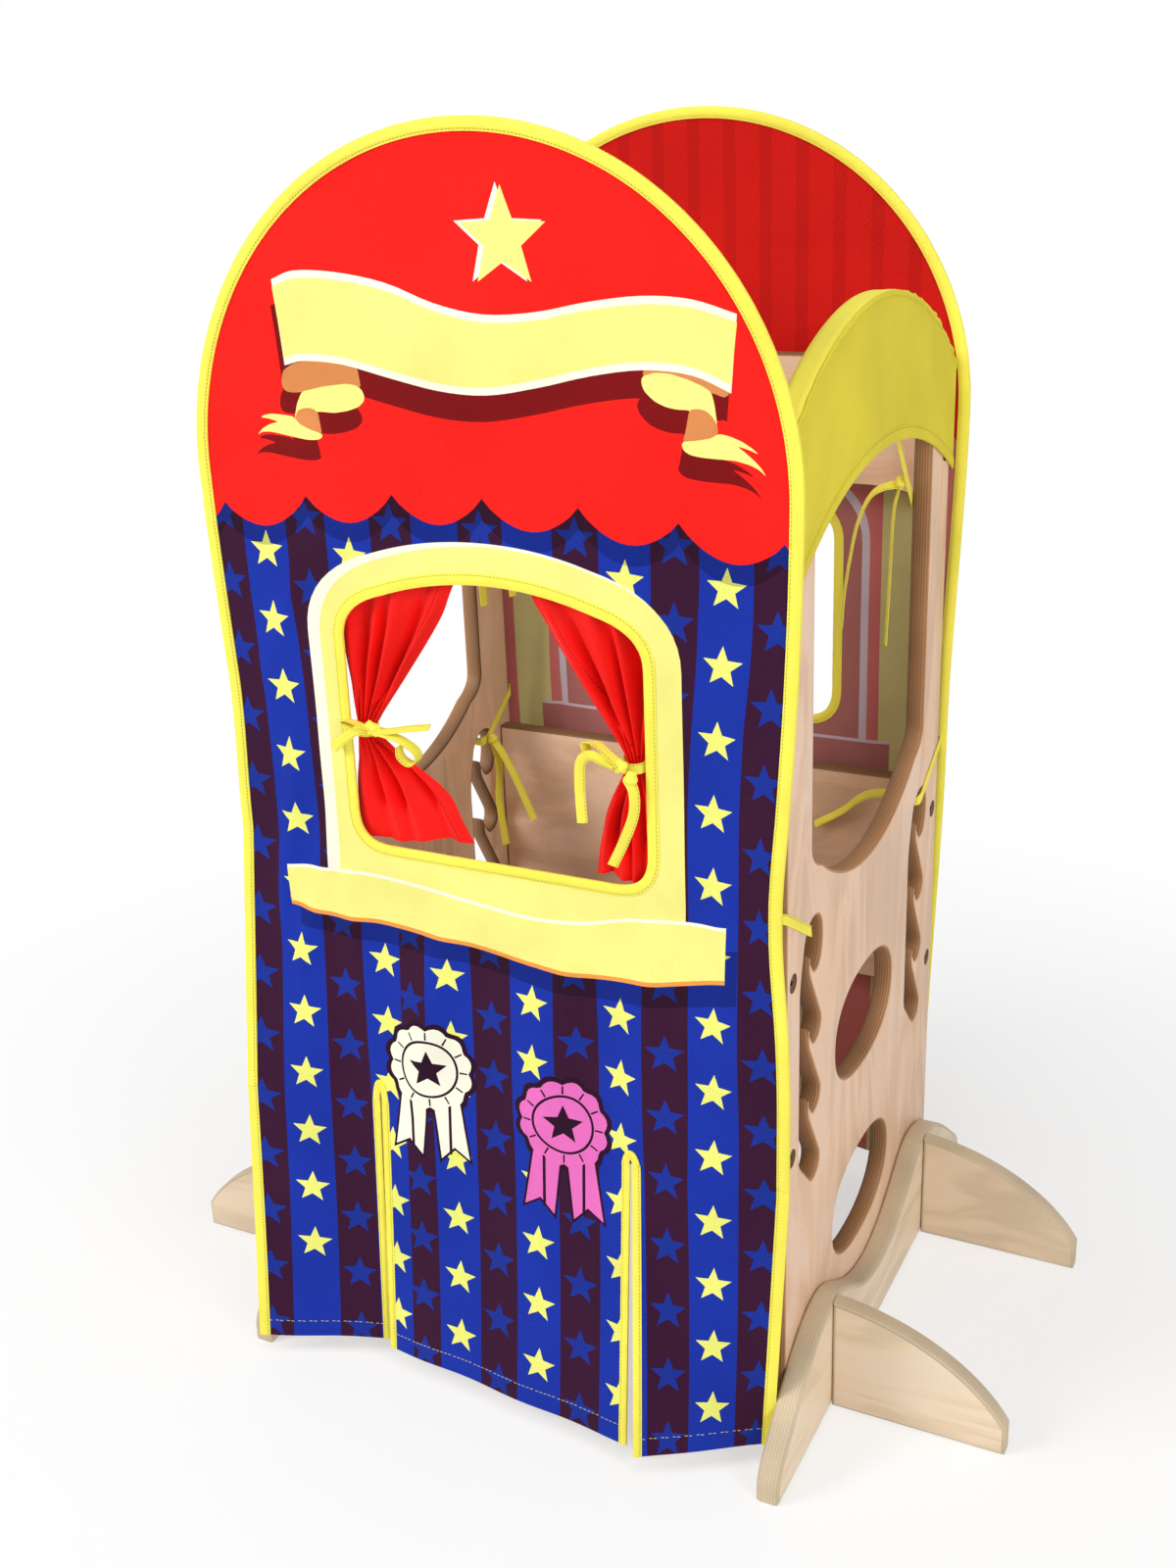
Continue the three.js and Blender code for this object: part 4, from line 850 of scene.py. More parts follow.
def opening_line(grow):
    """Outline (x, z) of the cloth window, grown by an amount all round."""
    w, top, low = OPENING_HALF + grow, OPENING_TOP_CORNER + grow, OPENING_LOW_CORNER + grow
    radius, crown, sill = OPENING_RADIUS + grow, OPENING_CROWN + grow, OPENING_SILL - grow
    shoulder = w - top
    height = crown - radius + math.sqrt(radius ** 2 - shoulder ** 2)
    angle = math.asin(shoulder / radius)
    half = bezier((0, sill), (w - low, sill), steps=18)[:-1]
    half += bezier((w - low, sill), (w, sill), (w, sill + low), steps=8)
    half += bezier((w, sill + low), (w, height - top), steps=20)[1:]
    half += bezier((w, height - top), (w, height - top / 4), (shoulder, height), steps=10)[1:]
    half += arc(0, crown - radius, radius, math.pi / 2 - angle, math.pi / 2, 7)[1:]
    return [*half, *[(-u, v) for u, v in reversed(half[1:-1])]]


def inside(points, outline):
    """Which of the points lie inside the outline."""
    p, o = np.asarray(points), np.asarray(outline, float)
    found = np.zeros(len(p), bool)
    near = np.flatnonzero(((p >= o.min(0)) & (p <= o.max(0))).all(1))
    x, y = p[near, 0], p[near, 1]
    hit = np.zeros(len(near), bool)
    for (ax, ay), (bx, by) in zip(o, np.roll(o, -1, axis=0)):
        if ay != by:
            hit ^= ((ay > y) != (by > y)) & (x < (bx - ax) * (y - ay) / (by - ay) + ax)
    found[near] = hit
    return found


def printed_mesh(outline, holes, shapes, step):
    """Triangles that follow a print: points (u, v), triangles and the ink of each one."""
    points, edges = [], []
    for loop in (outline, *holes, *(shape for shape, ink in shapes)):
        loop = np.asarray(loop, float)
        start = len(points)
        for a, b in zip(loop, np.roll(loop, -1, axis=0)):
            parts = max(1, int(math.ceil(np.linalg.norm(b - a) / (1.3 * step))))
            points += [tuple(a + (b - a) * k / parts) for k in range(parts)]
        edges += [(start + k, start + (k + 1) % (len(points) - start)) for k in range(len(points) - start)]
    lines = np.array(points)
    low, high = np.min(outline, 0), np.max(outline, 0)
    u, v = np.meshgrid(np.arange(low[0], high[0], step), np.arange(low[1], high[1], step * 0.866))
    u = u + (np.arange(len(v)) % 2)[:, None] * step / 2
    grid = np.column_stack([u.ravel(), v.ravel()])
    cells = {}
    for k, cell in enumerate(map(tuple, np.floor(lines / step).astype(int))):
        cells.setdefault(cell, []).append(k)
    keep = []
    for k, (a, b) in enumerate(np.floor(grid / step).astype(int)):
        near = [i for da in (-1, 0, 1) for db in (-1, 0, 1) for i in cells.get((a + da, b + db), ())]
        keep.append(not near or np.abs(lines[near] - grid[k]).sum(1).min() > 0.55 * step)
    made = delaunay_2d_cdt([Vector(p) for p in np.vstack([lines, grid[keep]])], edges, [], 0, 1e-4)
    verts, faces = np.array([tuple(p) for p in made[0]]), np.array(made[2])
    centres = verts[faces].mean(1)
    shown = inside(centres, outline)
    for hole in holes:
        shown &= ~inside(centres, hole)
    faces, centres = faces[shown], centres[shown]
    used = np.unique(faces)
    back = np.full(len(verts), -1)
    back[used] = np.arange(len(used))
    inks = np.zeros((len(faces), 3))
    for shape, ink in shapes:
        where = inside(centres, shape)
        if isinstance(ink, float):
            inks[where] *= ink
        else:
            inks[where] = tuple(ink)
    return verts[used], back[faces], inks


def printed_sheet(name, outline, holes, shapes, hang, outward, reverse):
    """A sheet of printed cloth with two sides; hang turns its flat (u, v) into the tower's (x, y, z)."""
    cloth = bpy.context.scene.stand_cloth
    verts, faces, inks = printed_mesh(outline, holes, shapes, cloth.grid / MM)
    if outward > 0:
        faces = faces[:, ::-1]
    piece = mesh_piece(name, hang(verts), faces, verts[faces.ravel()] * MM)
    ink = piece.data.attributes.new("print", "FLOAT_COLOR", "CORNER")
    ink.data.foreach_set("color", np.c_[np.repeat(inks, 3, axis=0), np.ones(3 * len(faces))].ravel())
    shape_with(piece, "SOLIDIFY", thickness=cloth.thickness, offset=0)
    mesh = piece.data
    normals = np.zeros(3 * len(mesh.polygons))
    mesh.polygons.foreach_get("normal", normals)
    behind = normals.reshape(-1, 3)[:, 1] * outward < 0
    totals = np.zeros(len(mesh.polygons), int)
    mesh.polygons.foreach_get("loop_total", totals)
    colours = np.zeros(4 * len(mesh.loops))
    mesh.attributes["print"].data.foreach_get("color", colours)
    colours = colours.reshape(-1, 4)
    back = np.repeat(behind, totals)
    dense = colours[:, 0] > 30 * colours[:, 1]  # the arches' red goes right through
    share = (reverse * (back & ~dense))[:, None]
    colours[:, :3] = colours[:, :3] * (1 - share) + np.array(REVERSE) * share
    mesh.attributes["print"].data.foreach_set("color", colours.ravel())
    smooth(piece, 60)
    return piece


def area_of(outline, holes=()):
    """Area of an outline less its holes, in square metres."""
    def one(loop):
        p = np.asarray(loop, float)
        q = np.roll(p, -1, axis=0)
        return abs((p[:, 0] * q[:, 1] - q[:, 0] * p[:, 1]).sum()) / 2 * MM * MM
    return one(outline) - sum(map(one, holes))


def star(u, v, radius, inner=0.43, turn=0.0):
    return [(u + r * math.sin(a + turn), v + r * math.cos(a + turn))
            for a, r in ((k * math.pi / 5, radius * (inner if k % 2 else 1)) for k in range(10))]


def moved(shape, du, dv):
    return [(u + du, v + dv) for u, v in shape]


def disc(u, v, radius, petals=0, depth=0.0, count=64):
    angles = np.linspace(0, math.tau, count, endpoint=False)
    reach = [radius + depth * abs(math.sin(a * petals / 2)) for a in angles]
    return [(u + r * math.cos(a), v + r * math.sin(a)) for a, r in zip(angles, reach)]


# The print, in millimetres across and up the flat cloth
GROUND_HALF, GROUND_LOW, GROUND_TOP, STRIPE_TOP = 320, -60, 1200, 900
FRONT_FRAME, REAR_FRAME, FRAME_SPRING, FRAME_FOOT = 33, 38, 640, 500  # width, and where the arch and the legs begin
RIBBON_SHADOW, TAIL_SHADOW, FRAME_LIGHT, SILL_SHADOW = (-3.5, -21), (-3.5, -17.5), (-3, 3), (10, -20)
VALANCE_SHADOW, VALANCE_SHADE, SILL_SHADE, REAR_FOLD_SHADE = 17, 0.62, 0.6, 0.86
CROWN_STAR, CROWN_STAR_FACE = (32, 1078, 40), (36, 1077, 39)
ROSETTES = ((-80, 338, "cream"), (60, 312, "pink"))
CUSP_PITCH, CUSP_SHIFT, CUSP_HEIGHT, SCALLOP_DEPTH, CUSP_FALL = 86.5, 4.0, 876.0, 24.0, 0.00028


def scallops(drop=0.0):
    """Lower edge of the red valance, from left to right."""
    line = []
    for k in range(-4, 4):
        for t in np.linspace(0, 1, 13)[:-1]:
            u = CUSP_SHIFT + (k + t) * CUSP_PITCH
            line.append((u, CUSP_HEIGHT - CUSP_FALL * u * u - SCALLOP_DEPTH * math.sin(math.pi * t) ** 0.8 - drop))
    return line


STAR_TOP, STAR_STEP, STAR_ROWS = 818.0, 62.0, 14
SILL_TOP = ((-224, 520), (-180, 522), (-135, 522), (-73, 518), (-20, 512), (30, 508), (80, 512), (122, 522),
            (170, 528), (215, 531))
SILL_LOW = ((-221, 483), (-178, 476), (-118, 475), (-35, 470), (44, 462), (120, 465), (170, 471), (214, 481))
RIBBON_TOP = ((-183, 1046), (-160, 1053), (-120, 1052), (-74, 1044), (-30, 1029), (15, 1021), (60, 1023),
              (105, 1031), (150, 1036), (190, 1034), (226, 1024))
RIBBON_LOW = ((-178, 977), (-158, 981), (-120, 979), (-74, 969), (-30, 961), (15, 959), (60, 966), (105, 976),
              (150, 982), (190, 979), (221, 967))
RIBBON_TAILS = (  # back fold, turn, inner fold and forked end, left and right
    (((-182, 967), (-180, 973), (-169, 979), (-156, 981), (-142, 981), (-126, 980), (-106, 977), (-104, 961),
      (-140, 958), (-163, 955.6), (-172, 954.7), (-180, 956), (-183, 961)),
     ((-163, 956), (-140, 961), (-119, 963.7), (-110, 963), (-104, 960), (-101.5, 955), (-102, 950), (-108, 945),
      (-119, 941.5), (-132, 939.5), (-147, 940.3), (-160, 936), (-172, 933), (-169, 945)),
     ((-172, 932), (-168.6, 940.4), (-159.5, 943), (-152, 942.4), (-147.4, 939), (-144.5, 922), (-158, 922),
      (-168, 928)),
     ((-172.5, 935), (-182, 936), (-196, 936.6), (-204, 935.2), (-208, 933), (-199, 932.4), (-189, 930),
      (-197.5, 928.2), (-206.6, 924), (-213, 917.7), (-208, 920.8), (-198, 921.5), (-184, 919.7), (-171, 917.9),
      (-159, 916.5), (-149.5, 916.9), (-144.8, 919), (-144.5, 922), (-158, 925.7), (-167.7, 929.4))),
    (((154, 994), (168, 994), (188, 993), (201, 990), (211, 985.3), (218, 979.4), (221, 973.8), (220, 967),
      (216, 963.5), (211, 965.2), (205.6, 966.9), (190, 966), (165, 975), (149.3, 977.4), (151, 983.4)),
     ((149.3, 977.4), (159.6, 980.4), (172, 980), (186, 976.2), (198.5, 971.4), (205.1, 967.4), (207.6, 958),
      (209.3, 945), (209, 938), (196, 948), (187, 953.7), (177.6, 953.6), (168.4, 955.4), (159.2, 959.3),
      (150.6, 966.7), (148.3, 972.8)),
     ((187.4, 954), (196.2, 954.9), (202.4, 952.5), (207.5, 947.4), (210.3, 940.8), (209.7, 936), (205.3, 931),
      (194, 929), (182.4, 929), (184.6, 938)),
     ((182.4, 930.2), (194, 931.3), (205.3, 933.4), (210, 937), (218.8, 935.6), (229.1, 932), (237.4, 927.5),
      (243.2, 922.8), (235.3, 926), (225, 928.5), (231.2, 924.5), (239.5, 918), (244.7, 913), (249, 906.5),
      (243.6, 911.5), (235.3, 915), (224, 917.5), (208.3, 918.2), (198, 918.8), (188.5, 920.3), (183.4, 923),
      (181.4, 927.2))))


PRINT_LEFT_IN, PRINT_RIGHT_IN, PRINT_RIGHT_BACK = 5.0, 14.0, 4.5  # drawn in on each side, and less so below
PRINT_SAG, PRINT_DIP, DIP_AT, DIP_REACH = 11.0, 14.0, (70, 436), (78, 52)  # the dip is right of the middle


def pulled(points):
    """Places of the front print as the hung cloth shows them: drawn to the middle and down from the valance."""
    u, v = np.asarray(points, float).T
    right = smoothstep((u + 130) / 60)
    across = PRINT_LEFT_IN * (1 - right) - right * (PRINT_RIGHT_IN - PRINT_RIGHT_BACK * smoothstep((560 - v) / 500))
    dip = np.exp(-((v - DIP_AT[1]) / DIP_REACH[1]) ** 2 - ((u - DIP_AT[0]) / DIP_REACH[0]) ** 2)
    sag = PRINT_SAG * smoothstep((820 - v) / 560) + PRINT_DIP * dip
    return np.column_stack([u + across * smoothstep((830 - v) / 220), v - sag])


def stripe(u, wide):
    """Outline of a pulled stripe."""
    v = np.arange(GROUND_LOW, STRIPE_TOP + 1, 24.0)
    left, right = (pulled(np.column_stack([np.full_like(v, side), v])) for side in (u - wide, u + wide))
    return [*left, *right[::-1]]


def frame_outline(grow):
    """The printed frame's outer line, so far outside the window, from the sill over the window to the sill."""
    upper = [p for p in opening_line(grow) if p[1] > FRAME_SPRING]
    line = [*sorted((p for p in upper if p[0] > 0), key=lambda p: p[1]),
            *sorted((p for p in upper if p[0] <= 0), key=lambda p: -p[1])]
    return [(line[0][0], FRAME_FOOT), *line, (line[-1][0], FRAME_FOOT)]


def front_shapes():
    """The front print in painting order; a plain number as ink darkens what lies under it."""
    ink, cloth = bpy.context.scene.stand_print, bpy.context.scene.stand_cloth
    pitch, radius = cloth.stripe_pitch / MM, cloth.star_radius / MM
    shapes = [(box(-GROUND_HALF, GROUND_LOW, GROUND_HALF, STRIPE_TOP), ink.purple)]
    columns = [(k - 2.5) * pitch for k in range(6)]
    shapes += [(stripe(u, pitch / 4 + 1), ink.blue) for u in columns]
    for k in range(STAR_ROWS):
        z = STAR_TOP - k * STAR_STEP
        shapes += [(star(*pulled([(u, z)])[0], radius, turn=0.05), ink.star) for u in columns[z < 100:]
                   if z > 20]
        shapes += [(star(*pulled([((j - 3) * pitch, z + STAR_STEP / 2)])[0], radius * 1.04), ink.deep_star)
                   for j in range(7)]
    shapes.append(([*scallops(VALANCE_SHADOW), (GROUND_HALF, STRIPE_TOP), (-GROUND_HALF, STRIPE_TOP)],
                   VALANCE_SHADE))
    shapes.append(([*scallops(), (GROUND_HALF, GROUND_TOP), (-GROUND_HALF, GROUND_TOP)], ink.red))
    top, low = curve_through(RIBBON_TOP, 4), curve_through(RIBBON_LOW, 4)[::-1]
    ribbon = [*top, *low]
    tails = [[rounded(part, 3, 3) for part in tail] for tail in RIBBON_TAILS]
    shapes += [(moved(shape, *TAIL_SHADOW), ink.shadow) for shape in (*tails[0], *tails[1])]
    shapes.append((moved(ribbon, *RIBBON_SHADOW), ink.shadow))
    for tail in tails:
        shapes += list(zip(tail, (ink.tan, ink.frame, ink.tan, ink.frame)))
    shapes.append((ribbon, ink.cream))
    shapes.append(([*moved(top, 0, -6), *moved(low, 0, 6)], ink.frame))
    shapes += [(star(*CROWN_STAR), ink.cream), (star(*CROWN_STAR_FACE), ink.frame)]
    frame_line = frame_outline(FRONT_FRAME)
    shapes.append((moved(frame_line, *FRAME_LIGHT), ink.cream))
    shapes.append(([(u + 9 if u < 0 else u, v) for u, v in frame_line], ink.frame))
    top, low = curve_through(SILL_TOP, 5), curve_through(SILL_LOW, 5)[::-1]
    shapes.append((moved([*top, *low], *SILL_SHADOW), SILL_SHADE))
    shapes.append(([*top, *moved(low, 0, -2)], ink.orange))
    shapes.append(([*top, *moved(low, 0, 2)], ink.cream))
    shapes.append(([*moved(top, 0, -3.2), *moved(low, 0, 2)], ink.frame))
    for u, v, colour in ROSETTES:
        shapes += rosette(u, v, getattr(ink, colour), ink)
    return shapes


def rosette(u, v, colour, ink):
    """A show rosette with its two ribbons, outlined in plum."""
    dark = [c * 0.62 for c in ink.purple]
    tails = [[(u - 2, v - 20), (u - 30, v - 28), (u - 40, v - 88), (u - 24, v - 78), (u - 10, v - 92)],
             [(u + 2, v - 20), (u + 10, v - 92), (u + 24, v - 78), (u + 40, v - 88), (u + 30, v - 28)]]
    shapes = []
    for tail in tails:
        centre = np.mean(tail, 0)
        shapes.append(([tuple(centre + (np.array(p) - centre) * 1.17) for p in tail], dark))
    shapes.append((disc(u, v, 45, 12, 5), dark))
    shapes += [(tail, colour) for tail in tails]
    for tail in tails:
        middle_u, middle_v = (np.array(tail[1]) + tail[-1]) / 2
        shapes.append((box(middle_u - 1.5, middle_v + 26, middle_u + 1.5, middle_v - 26), dark))
    shapes += [(disc(u, v, 40, 12, 4.5), colour), (disc(u, v, 30), dark), (disc(u, v, 27.5), colour)]
    for k in range(12):
        a = math.tau * k / 12
        shapes.append(([(u + r * math.cos(a + t), v + r * math.sin(a + t))
                        for r, t in ((31, -0.03), (39, -0.02), (39, 0.02), (31, 0.03))], dark))
    shapes.append((star(u, v, 20, 0.45), dark))
    return shapes


def rear_shapes():
    """The rear print: stripes, frame and sill in the rear colours, all bare."""
    ink, cloth = bpy.context.scene.stand_print, bpy.context.scene.stand_cloth
    pitch = cloth.stripe_pitch / MM
    shapes = [(box(-GROUND_HALF, GROUND_LOW, GROUND_HALF, GROUND_TOP), ink.rear_pink)]
    shapes += [(box((k - 2.75) * pitch, GROUND_LOW, (k - 2.25) * pitch, STRIPE_TOP), ink.lime) for k in range(6)]
    shapes.append(([*scallops(), (GROUND_HALF, GROUND_TOP), (-GROUND_HALF, GROUND_TOP)], ink.rear_red))
    shapes += [(box(u, 830, u + 13, GROUND_TOP), REAR_FOLD_SHADE) for u in range(-280, 280, 38)]
    frame_line = frame_outline(REAR_FRAME)
    middle = np.array((0, 660))
    shapes.append((frame_line, ink.lilac))
    shapes.append(([tuple(middle + (np.array(p) - middle) * (0.955, 0.965)) for p in frame_line], ink.brick))
    shapes.append((box(-207, 484, 207, 532), ink.brick))
    shapes.append((box(-207, 528.5, 207, 532), ink.lilac))
    return shapes


HEM_DEPTH, SEAM_THREAD = 17.0, hex_colour("#C9C07A")
REVERSE, FRONT_REVERSE, REAR_REVERSE = hex_colour("#C9B9A8"), 0.25, 0.3  # tone and share that pale a print's back


def hem_stitches(u0, u1, v, dash=3.0, step=4.4):
    """Dashes of the hem's seam."""
    return [(box(u, v - 0.35, u + dash, v + 0.35), SEAM_THREAD) for u in np.arange(u0, u1 - dash, step)]


RIDGE_UNIT = 0.0022  # the wrinkle setting at which the ridges rise as given
RIDGES = (  # from and to (x, z), half width and rise
    (-205, 640, -236, 470, 14, 3.4), (-176, 560, -214, 410, 12, 2.4), (-160, 520, -142, 330, 16, 3.0),
    (-60, 480, -96, 300, 18, 2.6), (70, 476, 28, 300, 20, 2.6), (150, 500, 128, 300, 18, 2.4),
    (205, 560, 236, 380, 15, 2.2), (-190, 790, -232, 700, 12, 1.8), (196, 800, 238, 690, 14, 1.6),
    (-140, 930, -210, 890, 18, 1.2), (150, 950, 215, 900, 20, 1.2), (-20, 900, 30, 1100, 40, 1.2))


def wrinkles(u, v):
    """Soft wrinkles of the hung cloth, in millimetres: long ridges and an uneven drape."""
    height = bpy.context.scene.stand_cloth.wrinkle / RIDGE_UNIT
    total = 0.5 * np.sin(u / 31 + v / 57) * np.sin(v / 43 - u / 90 + 1)
    for u0, v0, u1, v1, width, rise in RIDGES:
        du, dv = u1 - u0, v1 - v0
        length = math.hypot(du, dv)
        along = ((u - u0) * du + (v - v0) * dv) / length ** 2
        aside = ((u - u0) * dv - (v - v0) * du) / length
        ends = smoothstep((along + 0.25) / 0.4) * smoothstep((1.25 - along) / 0.4)
        total = total + rise * ends * np.exp(-(aside / width) ** 2)
    edge = smoothstep((255 - np.abs(u)) / 26)
    arch = smoothstep((CLOTH_RADIUS - 22 - np.hypot(u, np.maximum(v - CLOTH_CENTRE, 0))) / 40)
    gap = np.maximum(np.abs(u) - OPENING_HALF, np.maximum(OPENING_SILL - v, v - OPENING_CROWN))
    return height * total * edge * arch * smoothstep((gap - 8) / 30)


def fold_at(u, v):
    low = smoothstep((OPENING_SILL - v) / (OPENING_SILL - HINGE))
    return FOLD_DEPTH * low * smoothstep((268 - np.abs(u)) / 40) * np.sin(math.tau * u / FOLD_PITCH)


def front_billow(u, v):
    share = np.clip((OPENING_SILL - OPENING_BINDING - v) / (OPENING_SILL - HINGE), 0, 1)
    lean = HINGE_BILLOW * share / (1 - OPENING_BINDING / (OPENING_SILL - HINGE))
    return lean + fold_at(u, v) * np.sin(math.pi * share)


LEFT_OUT, RIGHT_OUT, RIGHT_TUCK, TUCK_HEIGHT = 8.5, 3.0, 10.0, 540.0  # the tuck is at the right lower tie
LEFT_LEAN, RIGHT_LEAN = 22.0, 14.0  # ahead on the left and back on the right, at the hinge line


def askew(u, v):
    """How far the front cloth hangs off its even place: across, and ahead of it."""
    left, right = smoothstep((-u - 225) / 45), smoothstep((u - 225) / 45)
    share = np.clip((OPENING_SILL - v) / (OPENING_SILL - HINGE), 0, 1)
    tuck = RIGHT_TUCK * right * np.exp(-((v - TUCK_HEIGHT) / 95) ** 2)
    return ((RIGHT_OUT * right - LEFT_OUT * left) * smoothstep((700 - v) / 150) - tuck,
            share * (LEFT_LEAN * smoothstep((-u - 140) / 120) - RIGHT_LEAN * smoothstep((u - 190) / 80)))


def hang_front(points):
    u, v = np.asarray(points, float).T
    across, ahead = askew(u, v)
    return np.column_stack([u + across, -(CLOTH_Y + front_billow(u, v) + ahead + wrinkles(u, v)), v])


def hang_rear(points):
    u, v = np.asarray(points, float).T
    return np.column_stack([u, CLOTH_Y + fold_at(u, v) + 0.8 * wrinkles(u, v), v])


def flap_reach(flap, u):
    share = (u - flap["hinge"][0]) / (flap["hinge"][1] - flap["hinge"][0])
    return share, flap["billow"][0] + (flap["billow"][1] - flap["billow"][0]) * share


def flap_length(flap, u):
    """Length of the cloth from the hinge to the hem at a place across it."""
    return np.hypot(HINGE - HEM, flap_reach(flap, u)[1] - HINGE_BILLOW)


FLAP_FOLD, FLAP_RIPPLE, FLAP_BOW = 0.2, 0.5, 2.0  # share of the front cloth's fold, and heights


def hang_flap(flap, points):
    """The flap hangs from its hinge line and leans out; its folds deepen towards the hem."""
    u, v = np.asarray(points, float).T
    share, reach = flap_reach(flap, u)
    drop = np.clip((HINGE - v) / flap_length(flap, u), 0, 1)
    width = flap["hinge"][1] - flap["hinge"][0]
    hem_width = flap["hem"][1] - flap["hem"][0]
    across, ahead = askew(u, np.full_like(u, HINGE))
    x = (1 - drop) * (u + across) + drop * (flap["hem"][0] + share * hem_width)
    root = front_billow(u, np.full_like(u, HINGE)) + wrinkles(u, np.full_like(u, HINGE)) + ahead
    ends = np.minimum(1, np.minimum(share, 1 - share) * width / 26)
    width_there = width + (hem_width - width) * drop
    fold = FLAP_FOLD * FOLD_DEPTH * drop * np.sin(math.tau * share * width_there / FOLD_PITCH)
    ripple = FLAP_RIPPLE * drop * ends * np.sin(u / 19 + drop * 1.4 + flap["billow"][0])
    bow = FLAP_BOW * np.sin(math.pi * drop) * ends
    y = CLOTH_Y + root * (1 - drop) + reach * drop + fold + ripple - bow
    flat = np.column_stack([x, -y, HINGE + (HEM - HINGE) * drop])
    return np.where((v > HINGE)[:, None], hang_front(points), flat)


class STAND_OT_cloths(bpy.types.Operator):
    """Makes the printed cloths: the front one, its three flaps and the rear one."""

    bl_idname = "puppet_stand.cloths"
    bl_label = "Printed cloths"

    def execute(self, context):
        shapes, finish = front_shapes(), woven("printed_polyester_canvas")
        edge, window = edge_line(-1, FLAP_TOP, BINDING_INSET), opening_line(OPENING_BINDING / 2)
        slit = [(u, SLIT_TOP if u == LEFT_SLIT[1] else FLAP_TOP - 5) for u in LEFT_SLIT]
        front = printed_sheet("front_show_cloth", edge, [window, slit], shapes, hang_front, -1, FRONT_REVERSE)
        dress(front, "tower", "front_print_cloth", ["front_cloth"], finish)
        area_of(edge, [window])
        for name, flap in FLAPS.items():
            left, right = flap["hinge"]
            left, right = left + flap["tapes"][0] / 2, right - flap["tapes"][1] / 2
            foot = [(u, HINGE - flap_length(flap, u)) for u in np.linspace(left, right, FOOT_POINTS)]
            outline = [*foot, (right, FLAP_TOP), (left, FLAP_TOP)]
            seam = [shape for u, v in foot[:-1]
                    for shape in hem_stitches(u, u + (right - left) / (FOOT_POINTS - 1), v + HEM_DEPTH)]
            sheet = printed_sheet(f"{name}_flap_cloth", outline, [], [*shapes, *seam],
                                  lambda p, flap=flap: hang_flap(flap, p), -1, FRONT_REVERSE)
            dress(sheet, ("tower", f"{name}_flap"), "front_print_cloth", [f"{name}_flap"], finish)
            area_of(outline)
        edge = edge_line(1, REAR_HEM, BINDING_INSET)
        shapes = [*rear_shapes(), *hem_stitches(-REAR_SEAM, REAR_SEAM, REAR_HEM + HEM_DEPTH)]
        rear = printed_sheet("rear_show_cloth", edge, [window], shapes, hang_rear, 1, REAR_REVERSE)
        dress(rear, "tower", "rear_print_cloth", ["rear_cloth"], finish)
        area_of(edge, [window])
        return {"FINISHED"}


# Tapes, covers, curtains and ties -----------------------------------------------------------------

HOOP_RADIUS = 2.3
TAPES = {  # width, thickness in the middle and at the edges, where its stitches lie across it, and round it
    "edge": ((BINDING, BINDING_THICK, 3.6, (-4.2,)), 1.9),
    "flap": ((BINDING, 3.6, 2.4, (-4.2,)), 1.9),
    "slit": ((SLIT_BINDING, SLIT_THICK, 2.0, (-2.4,)), 1.7),
    "slit_top": ((SLIT_BINDING - 1, SLIT_THICK - 0.6, 2.0), 0.0),
    "window": ((OPENING_BINDING, 4.4, 2.4, (3.2,)), 8.8),
}
SLIT_TOPS = (("left", (-142, -131.6), SLIT_TOP), ("right", (123, 133.4), FLAP_TOP + 12))  # feet and height


def binding(name, kind, line, across, out, body="tower", nodes=(), **sweep):
    """Sews a yellow tape of that kind along a line."""
    profile, stitch_at = TAPES[kind]
    sewn(tape(name, line, across, out, tape_profile(*profile), **sweep), body, nodes,
         woven("yellow_twill_tape", stitch_at))


